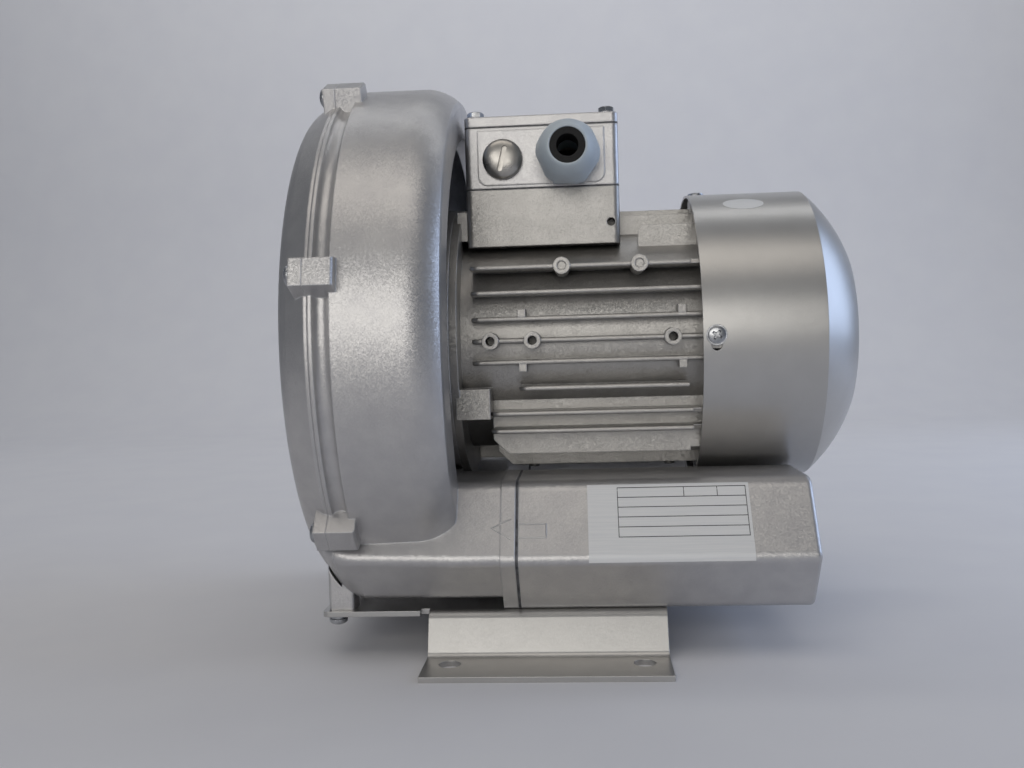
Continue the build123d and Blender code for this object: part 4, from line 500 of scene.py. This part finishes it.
def panScrewMesh(look, length, washer=None):
    # cross-recessed pan head with a ringed shank; the seat of the head is at z = 0
    radius, height, rim = look["headRadius"] * mm, look["headHeight"] * mm, look["rim"] * mm
    bevel, pitch, outer = look["bevel"] * mm, look["threadPitch"] * mm, look["shankRadius"] * mm
    core = (look["shankRadius"] - look["threadDepth"]) * mm
    profile = crown(radius, height, rim, look["crownPower"], look["crownSteps"])
    profile += [(radius, bevel), (radius - bevel, 0)]
    first = 0.5
    if washer:
        reach, thickness, edge = washer[0] * mm, washer[1] * mm, look["washerBevel"] * mm
        profile += [(reach - edge, 0), (reach, -edge), (reach, edge - thickness),
                    (reach - edge, -thickness), (core, -thickness)]
        first += math.ceil(thickness / pitch)
    else:
        profile.append((core, 0))
    profile += threadRings(core, outer, pitch, first, length)
    profile += [(core, -length + look["tipLength"] * mm), (core - look["tipStep"] * mm, -length),
                (0, -length)]
    reach, half = look["recessReach"] * mm, look["recessWidth"] * mm / 2
    cross = prismMesh(crossOutline(reach, half, half * look["recessWaist"]),
                      height - look["recessDepth"] * mm, height + spare)
    for corner in cross.verts:
        if corner.co.z < height:  # the arms taper towards the floor
            corner.co.x *= look["recessTaper"]
            corner.co.y *= look["recessTaper"]
    return combined(lathe(profile, look["steps"]), cross, "DIFFERENCE")


def makeCasingScrews():
    look = casingScrews
    low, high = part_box("casing_screws")
    seatX = low.x + panScrew["headHeight"] * mm
    places = []
    for k in range(look["count"]):
        spot = aroundShaft(seatX, look["circleRadius"] * mm, 180 - 360 / look["count"] * k)
        places.append(facing(spot, (-1, 0, 0), look["spin"] + look["spinStep"] * k))
    mesh = copiesAt(panScrewMesh(panScrew, high.x - seatX), places)
    finishedPiece("casingPanScrews", mesh, "zinc_steel", replaces=("casing_screws",))


def makeFanCoverScrews():
    look, head = fanCoverScrews, panScrew | lowHead
    low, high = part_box("fan_cover_screws")
    middleX = (low.x + high.x) / 2
    seat = high.z - shaftHeight - head["headHeight"] * mm
    places = []
    for k in range(look["count"]):
        degrees = 360 / look["count"] * k
        spot = aroundShaft(middleX, seat, degrees)
        outward = aroundShaft(0, 1, degrees) - Vector((0, 0, shaftHeight))
        places.append(facing(spot, outward, look["spin"] + look["spinStep"] * k))
    mesh = copiesAt(panScrewMesh(head, look["length"] * mm, look["washer"]), places)
    finishedPiece("fanCoverPanScrews", mesh, "zinc_steel", replaces=("fan_cover_screws",))


def makeFootScrews():
    head = panScrew | footHead
    low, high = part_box("foot_screws")
    lowestSeat = low.z + head["headHeight"] * mm
    for name, look in footScrews.items():
        seatZ = look["seatZ"] * mm if "seatZ" in look else lowestSeat
        places = [facing((look["x"] * mm, side * look["y"] * mm, seatZ), (0, 0, -1),
                         footSpin + footSpinStep * side) for side in (-1, 1)]
        mesh = copiesAt(panScrewMesh(head, look["length"] * mm, look["washer"]), places)
        finishedPiece(name, mesh, "zinc_steel", replaces=("foot_screws",))


makeCasingScrews()
makeFanCoverScrews()
makeFootScrews()

hexScrew = {
    "acrossFlats": 7.0, "height": 3.2, "chamferReach": 0.99, "chamferDrop": 0.63,
    "flangeRadius": 4.4, "flangeHeight": 0.6, "flangeBevel": 0.15, "shankRadius": 2.0,
    "recessReach": 1.9, "recessWidth": 0.85, "recessDepth": 1.2,
    "x": (-30.2, 33.1), "y": 32.5, "spin": 9, "spinStep": 13, "steps": 36,
}


def makeLidScrews():
    # hexagon heads with a flange and a cross recess
    look = hexScrew
    low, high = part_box("terminal_lid_screws")
    height, corner = look["height"] * mm, look["acrossFlats"] * mm / math.sqrt(3)
    flange, flangeHeight = look["flangeRadius"] * mm, look["flangeHeight"] * mm
    shank = look["shankRadius"] * mm
    seatZ = high.z - height
    length = seatZ - low.z
    turned = lathe([(0, height), (corner - look["chamferReach"] * mm, height),
                    (corner, height - look["chamferDrop"] * mm), (corner + spare, flangeHeight),
                    (corner + spare, 0), (0, 0)], look["steps"])
    head = combined(turned, prismMesh(hexagonOutline(corner), -spare, height + spare), "INTERSECT")
    reach, half = look["recessReach"] * mm, look["recessWidth"] * mm / 2
    cross = prismMesh(crossOutline(reach, half, half), height - look["recessDepth"] * mm, height + spare)
    head = combined(head, cross, "DIFFERENCE")
    body = lathe([(0, flangeHeight), (flange - look["flangeBevel"] * mm, flangeHeight),
                  (flange, flangeHeight / 2), (flange, 0), (shank, 0), (shank, -length), (0, -length)],
                 look["steps"])
    head = combined(head, body, "UNION")
    spots = [(x * mm, side * look["y"] * mm, seatZ) for side in (-1, 1) for x in look["x"]]
    places = [facing(spot, (0, 0, 1), look["spin"] + look["spinStep"] * k)
              for k, spot in enumerate(spots)]
    finishedPiece("lidHexScrews", copiesAt(head, places), "zinc_steel",
                  replaces=("terminal_lid_screws",), sharpDegrees=25)


makeLidScrews()
print("screws made")


def outOfPanel(mesh, place):
    # turns a mesh to point out of the near side: local Y stays up, local Z comes towards the viewer
    turn = Matrix(((1, 0, 0, 0), (0, 0, -1, 0), (0, 1, 0, 0), (0, 0, 0, 1)))
    bmesh.ops.transform(mesh, matrix=Matrix.Translation(place) @ turn, verts=mesh.verts)


def spun(mesh, degrees):
    turn = Matrix.Rotation(math.radians(degrees), 3, "Z")
    bmesh.ops.rotate(mesh, verts=mesh.verts, matrix=turn)
    return mesh


blankPlug = {
    "height": 4.3, "rim": 0.7, "bevel": 0.2, "crownPower": 0.85, "crownSteps": 16,
    "slotLength": 12.5, "slotWidth": 2.4, "slotDepth": 2.2, "slotDegrees": 14.0, "slotEndSteps": 12,
    "threadRadius": 8.0, "threadDepth": 0.6, "threadPitch": 1.5, "steps": 72,
}


def makeBlankPlug():
    # domed plug with a round-ended slot for a wide blade, and its thread inside the box
    look = blankPlug
    low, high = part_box("blanking_plug")
    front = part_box("blanking_plug_ring")[0].y
    radius, height, bevel = (high.x - low.x) / 2, look["height"] * mm, look["bevel"] * mm
    outer, pitch, length = look["threadRadius"] * mm, look["threadPitch"] * mm, high.y - front
    core = (look["threadRadius"] - look["threadDepth"]) * mm
    profile = crown(radius, height, look["rim"] * mm, look["crownPower"], look["crownSteps"])
    profile += [(radius, bevel), (radius - bevel, 0), (core, 0)]
    profile += threadRings(core, outer, pitch, 0.5, length)
    profile += [(core, -length), (0, -length)]
    half, steps = look["slotWidth"] * mm / 2, look["slotEndSteps"]
    centre = look["slotLength"] * mm / 2 - half
    outline = []
    for side, first in ((1, 0), (-1, steps)):
        for i in range(first, first + steps + 1):
            turn = math.pi * i / steps
            outline.append((half * math.cos(turn), side * centre + half * math.sin(turn)))
    slot = prismMesh(outline, height - look["slotDepth"] * mm, height + spare)
    plug = combined(lathe(profile, look["steps"]), spun(slot, -look["slotDegrees"]), "DIFFERENCE")
    outOfPanel(plug, ((low.x + high.x) / 2, front, (low.z + high.z) / 2))
    finishedPiece("slottedPlug", plug, "nickel", replaces=("blanking_plug",), sharpDegrees=30)


makeBlankPlug()

domeNut = {
    "acrossFlats": 28.0, "turned": -7.0, "bore": 11.1, "throat": 11.0, "thread": 9.8, "steps": 96,
    # radius and height of the turned outline, from the root to the mouth
    "outline": ((14.4, 0.0), (15.0, 0.5), (15.0, 5.0), (14.75, 6.4), (14.4, 7.8), (14.05, 9.2),
                (13.75, 10.8), (13.45, 12.4), (13.05, 14.0), (12.5, 15.6), (11.8, 17.1), (11.1, 18.5),
                (10.4, 19.7), (9.8, 20.6), (9.3, 21.15), (8.8, 21.45), (8.4, 21.45), (8.15, 21.2),
                (8.1, 20.8)),
}


def makeDomeNut():
    # the flats run out on the dome in six shallow scallops
    look = domeNut
    low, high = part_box("gland_nut")
    bore = look["bore"] * mm
    profile = [(radius * mm, height * mm) for radius, height in look["outline"]]
    profile += [(profile[-1][0], look["throat"] * mm), (bore, look["thread"] * mm), (bore, 0)]
    turned = lathe(profile + profile[:1], look["steps"])
    corner = look["acrossFlats"] * mm / math.sqrt(3)
    hexagon = prismMesh(hexagonOutline(corner), -spare, high.y - low.y + spare)
    nut = combined(turned, spun(hexagon, look["turned"]), "INTERSECT")
    outOfPanel(nut, ((low.x + high.x) / 2, high.y, (low.z + high.z) / 2))
    finishedPiece("domeNut", nut, "gland_plastic", replaces=("gland_nut",), sharpDegrees=28)


makeDomeNut()
print("plug and cable gland made")


def nodeSurface(*names):
    mesh = bmesh.new()
    for name in names:
        mesh.from_mesh(frame["nodes"][name].data)
    tree = BVHTree.FromBMesh(mesh)
    mesh.free()
    return tree


# the flat of the near silencer that slopes up and back, as seen along the shaft
slopeRun, slopeRise = 20.0, 31.8
slopeNormal = Vector((0, -slopeRise, slopeRun)).normalized()
slopeMiddle = Vector((0, -91 * mm, 61.6 * mm))
rayStart = 30  # mm off the side


def onSlope(tree, x, z, lift):
    # the point of the sloping side that lies at x and z, lifted off the paint
    y = slopeMiddle.y - slopeRun / slopeRise * (slopeMiddle.z - z)
    place, normal, _, _ = tree.ray_cast(Vector((x, y, z)) + slopeNormal * rayStart * mm, -slopeNormal)
    return place + normal * lift


def drapedSheet(tree, area, lift, thickness, columns, rows):
    # a thin sheet that follows the sloping side; area: left, right, low, high
    left, right, low, high = area
    mesh = bmesh.new()
    levels = []
    for level in (lift, lift + thickness):
        grid = []
        for j in range(rows + 1):
            z = low + (high - low) * j / rows
            grid.append([mesh.verts.new(onSlope(tree, left + (right - left) * i / columns, z, level))
                         for i in range(columns + 1)])
        levels.append(grid)
    for grid in levels:
        for j in range(rows):
            for i in range(columns):
                mesh.faces.new((grid[j][i], grid[j][i + 1], grid[j + 1][i + 1], grid[j + 1][i]))
    rim = [(0, i) for i in range(columns)] + [(j, columns) for j in range(rows)]
    rim += [(rows, i) for i in range(columns, 0, -1)] + [(j, 0) for j in range(rows, 0, -1)]
    for (j, i), (n, m) in zip(rim, rim[1:] + rim[:1]):
        mesh.faces.new((levels[0][j][i], levels[0][n][m], levels[1][n][m], levels[1][j][i]))
    return mesh


plate = {"left": 19.0, "right": 89.0, "low": 45.5, "high": 75.5, "thickness": 0.12, "lift": 0.03,
         "cells": 24, "foil": "#e9eaeb", "foilLow": "#e1e3e5", "glossiest": 0.34, "dullest": 0.5,
         "streakMm": 0.7, "streakHeightMm": 0.01, "stretch": 0.03}
silencerSide = nodeSurface("inlet_silencer")


def makeRatingPlate():
    # aluminium foil, brushed and then lacquered: pale and satin, with faint streaks along it;
    # real brush lines are about 0.1 mm apart, drawn coarser here so that they show
    look = plate
    material, tree, shader = newMaterial("brushedAluminiumFoil", {"Metallic": 0.1})
    place = addNode(tree, "ShaderNodeTexCoord").outputs["Object"]
    stretched = addNode(tree, "ShaderNodeMapping", values={"Scale": (look["stretch"], 1.0, 1.0)},
                        links={"Vector": place})
    brush = addNode(tree, "ShaderNodeTexNoise", values={"Scale": perMetre(look["streakMm"]), "Detail": 2.0},
                    links={"Vector": stretched.outputs["Vector"]})
    colour = rampStops(addNode(tree, "ShaderNodeValToRGB", links={"Fac": brush.outputs["Fac"]}),
                       [(0.3, look["foilLow"]), (0.7, look["foil"])])
    tree.links.new(colour.outputs["Color"], shader.inputs["Base Color"])
    rough = addNode(tree, "ShaderNodeMapRange",
                    values={"To Min": look["glossiest"], "To Max": look["dullest"]},
                    links={"Value": brush.outputs["Fac"]})
    tree.links.new(rough.outputs["Result"], shader.inputs["Roughness"])
    bump = addNode(tree, "ShaderNodeBump", values={"Distance": look["streakHeightMm"] * mm},
                   links={"Height": brush.outputs["Fac"]})
    tree.links.new(bump.outputs["Normal"], shader.inputs["Normal"])
    area = [look[key] * mm for key in ("left", "right", "low", "high")]
    sheet = drapedSheet(silencerSide, area, look["lift"] * mm, look["thickness"] * mm,
                        look["cells"], look["cells"])
    finishedPiece("ratingPlate", sheet, "sheet_paint", material)
    return material


foil = makeRatingPlate()

# the ruled table on the plate, its edges counted from the plate's
table = {"fromLeft": 13.0, "fromLow": 9.0, "margin": 1.6, "rows": 5, "columnShares": (0.52, 0.78),
         "ruleWidth": 0.3, "thickness": 0.02, "cellLength": 3.0, "cellHeight": 2.0,
         "ink": "#2b2c30", "inkThin": "#45464b", "blotMm": 1.0}


def makePlateRules():
    # screen-printed ink: dark, slightly glossy, and thinner in places
    look = table
    material, tree, shader = newMaterial("screenPrintedInk", {"Roughness": 0.5, "IOR": 1.5})
    place = addNode(tree, "ShaderNodeTexCoord").outputs["Object"]
    blot = addNode(tree, "ShaderNodeTexNoise", values={"Scale": perMetre(look["blotMm"])},
                   links={"Vector": place})
    colour = rampStops(addNode(tree, "ShaderNodeValToRGB", links={"Fac": blot.outputs["Fac"]}),
                       [(0.3, look["ink"]), (0.8, look["inkThin"])])
    tree.links.new(colour.outputs["Color"], shader.inputs["Base Color"])
    width, margin = look["ruleWidth"] * mm, look["margin"] * mm
    left, right = (plate["left"] + look["fromLeft"]) * mm, plate["right"] * mm - margin
    low, high = (plate["low"] + look["fromLow"]) * mm, plate["high"] * mm - margin
    levels = [low + (high - low) * i / look["rows"] for i in range(look["rows"] + 1)]
    strips = [(left, right + width, z, z + width) for z in levels]
    strips += [(x, x + width, low, high) for x in (left, right)]
    for share in look["columnShares"]:  # the short columns stand in the top row only
        x = left + (right - left) * share
        strips.append((x, x + width, levels[-2], high))
    whole = bmesh.new()
    for area in strips:
        columns = max(1, round((area[1] - area[0]) / (look["cellLength"] * mm)))
        rows = max(1, round((area[3] - area[2]) / (look["cellHeight"] * mm)))
        strip = drapedSheet(silencerSide, area, (plate["lift"] + plate["thickness"]) * mm,
                            look["thickness"] * mm, columns, rows)
        data = storedMesh("strip", strip)
        whole.from_mesh(data)
        bpy.data.meshes.remove(data)
    finishedPiece("ratingPlateRules", whole, "sheet_paint", material)


makePlateRules()

sticker = {"x": 97.0, "halfLength": 9.6, "halfArc": 6.2, "degrees": 29.0, "lift": 0.02,
           "thickness": 0.08, "steps": 48, "rings": 6}


def makeOvalSticker():
    # bare oval of foil stuck on the barrel of the fan cover
    look = sticker
    steps = look["steps"]
    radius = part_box("fan_cover")[1].z - shaftHeight
    mesh = bmesh.new()
    levels = []
    for lift in (look["lift"], look["lift"] + look["thickness"]):
        rings = []
        for ring in range(look["rings"] + 1):
            share = ring / look["rings"]
            row = []
            for i in range(steps if ring else 1):
                turn = 2 * math.pi * i / steps
                x = (look["x"] + look["halfLength"] * share * math.cos(turn)) * mm
                arc = look["halfArc"] * mm * share * math.sin(turn)
                degrees = look["degrees"] + math.degrees(arc / radius)
                row.append(mesh.verts.new(aroundShaft(x, radius + lift * mm, degrees)))
            rings.append(row)
        levels.append(rings)
    for rings in levels:
        for inner, outer in zip(rings, rings[1:]):
            for i in range(steps):
                j = (i + 1) % steps
                corners = [inner[i % len(inner)], outer[i], outer[j], inner[j % len(inner)]]
                mesh.faces.new(list(dict.fromkeys(corners)))
    under, upper = levels[0][-1], levels[1][-1]
    for i in range(steps):
        j = (i + 1) % steps
        mesh.faces.new((under[i], under[j], upper[j], upper[i]))
    finishedPiece("ovalSticker", mesh, "sheet_paint", foil)


makeOvalSticker()

flowArrow = {"tip": (-23.0, 59.0), "barbs": ((-14.2, 62.4), (-14.5, 54.3)), "tail": (0.9, 60.3, 55.0),
             "neckX": -10.8, "beadRadius": 0.38, "beadSteps": 2, "step": 1.0}


def makeFlowArrow():
    # cast outline of an arrow: a low round bead, its open tail running over the seam
    look = flowArrow
    surface = nodeSurface("inlet_silencer", "blower_housing", "inlet_gasket")
    upper, lower = look["barbs"]
    neckX, (tailX, tailHigh, tailLow) = look["neckX"], look["tail"]
    lines = [[upper, look["tip"], lower],
             [(neckX, tailHigh), (tailX, tailHigh), (tailX, tailLow), (neckX, tailLow)]]
    curve = bpy.data.curves.new("arrowLine", "CURVE")
    curve.dimensions, curve.bevel_depth = "3D", look["beadRadius"] * mm
    curve.bevel_resolution = look["beadSteps"]
    for line in lines:
        dense = []
        for (xa, za), (xb, zb) in zip(line, line[1:]):
            count = max(1, round(math.hypot(xb - xa, zb - za) / look["step"]))
            dense += [(xa + (xb - xa) * i / count, za + (zb - za) * i / count) for i in range(count)]
        dense.append(line[-1])
        spline = curve.splines.new("POLY")
        spline.points.add(len(dense) - 1)
        for point, (x, z) in zip(spline.points, dense):
            point.co = (*onSlope(surface, x * mm, z * mm, 0.0), 1.0)
    holder = inScene("arrowLine", curve)
    mesh = bmesh.new()
    mesh.from_mesh(holder.to_mesh())
    bpy.data.objects.remove(holder)
    finishedPiece("flowArrow", mesh, "cast_paint")


makeFlowArrow()
print("plates and marks made")


# the lengths of the floor, the lamps and the camera are in metres
stageLook = {"paper": "#e9e9ec", "paperLow": "#e6e6ea", "patchMm": 60.0, "halfWidth": 1.6, "front": -1.2,
             "back": 1.1, "bend": 0.45, "top": 1.6, "steps": 16}


def makeStage():
    look = stageLook
    back, bend = look["back"], look["bend"]
    profile = [(look["front"], 0.0), (back, 0.0)]
    for i in range(1, look["steps"] + 1):
        turn = math.pi / 2 * i / look["steps"]
        profile.append((back + bend * math.sin(turn), bend * (1 - math.cos(turn))))
    profile.append((back + bend, look["top"]))
    mesh = bmesh.new()
    left, right = [[mesh.verts.new((x, y, z)) for y, z in profile]
                   for x in (-look["halfWidth"], look["halfWidth"])]
    for i in range(len(profile) - 1):
        mesh.faces.new((left[i], right[i], right[i + 1], left[i + 1])).smooth = True
    # seamless paper, uncoated: matt and pale. Its fibre is too fine to show, so it is drawn
    # as broad patches that hardly show.
    material, tree, shader = newMaterial("paperSweep", {"Roughness": 0.9, "IOR": 1.45,
                                                        "Specular IOR Level": 0.2})
    place = addNode(tree, "ShaderNodeTexCoord").outputs["Object"]
    fibre = addNode(tree, "ShaderNodeTexNoise", values={"Scale": perMetre(look["patchMm"]), "Detail": 3.0},
                    links={"Vector": place})
    colour = rampStops(addNode(tree, "ShaderNodeValToRGB", links={"Fac": fibre.outputs["Fac"]}),
                       [(0.3, look["paperLow"]), (0.7, look["paper"])])
    tree.links.new(colour.outputs["Color"], shader.inputs["Base Color"])
    stage = inScene("stage", storedMesh("stage", mesh))
    stage.data.materials.append(material)


makeStage()

lamps = {
    # warm box from the front, a low one from above, cool light from the window side,
    # and one that only brightens the backdrop
    "frontBox": {"place": (-0.30, -1.60, 0.50), "aim": (0.0, 0.0, 0.14),
                 "size": (1.5, 0.8), "watts": 7.0, "colour": "#fffbf4"},
    "topBox": {"place": (-0.10, -0.55, 1.25), "aim": (0.0, -0.05, 0.10),
               "size": (1.2, 0.6), "watts": 2.4, "colour": "#fff7ec"},
    "windowBox": {"place": (1.25, 0.15, 0.50), "aim": (0.0, 0.0, 0.14),
                  "size": (1.0, 0.8), "watts": 5.0, "colour": "#c8dcff"},
    "backdropBox": {"place": (0.0, 0.55, 1.55), "aim": (0.0, 1.5, 0.55),
                    "size": (2.4, 0.4), "watts": 9.0, "colour": "#ffffff"},
}
for name, look in lamps.items():
    lamp = bpy.data.lights.new(name, "AREA")
    lamp.shape, lamp.energy = "RECTANGLE", look["watts"]
    lamp.size, lamp.size_y = look["size"]
    lamp.color = linear(look["colour"])[:3]
    holder = inScene(name, lamp)
    holder.location = look["place"]
    towards = Vector(look["aim"]) - Vector(look["place"])
    holder.rotation_euler = towards.to_track_quat("-Z", "Y").to_euler()

roomLook = {"colour": "#dde3ee", "strength": 0.18}
room = bpy.data.worlds.new("room")
room.use_nodes = True
bpy.context.scene.world = room
background = room.node_tree.nodes["Background"]
background.inputs["Color"].default_value = linear(roomLook["colour"])
background.inputs["Strength"].default_value = roomLook["strength"]

cameraShot = {"place": (0.01806, -0.52785, 0.13841), "turnLeft": 3.960, "tiltDown": 2.241, "lean": -1.679,
              "lens": 35.61, "sensor": 36.0, "clip": (0.01, 20.0)}
camera = bpy.data.cameras.new("camera")
camera.lens, camera.sensor_width = cameraShot["lens"], cameraShot["sensor"]
camera.clip_start, camera.clip_end = cameraShot["clip"]
cameraHolder = inScene("camera", camera)
cameraHolder.matrix_world = (Matrix.Translation(cameraShot["place"])
                             @ Matrix.Rotation(math.radians(cameraShot["turnLeft"]), 4, "Z")
                             @ Matrix.Rotation(math.radians(90 - cameraShot["tiltDown"]), 4, "X")
                             @ Matrix.Rotation(math.radians(cameraShot["lean"]), 4, "Z"))
bpy.context.scene.camera = cameraHolder
bpy.context.scene.view_settings.view_transform = "Standard"
print("stage, lamps and camera ready")
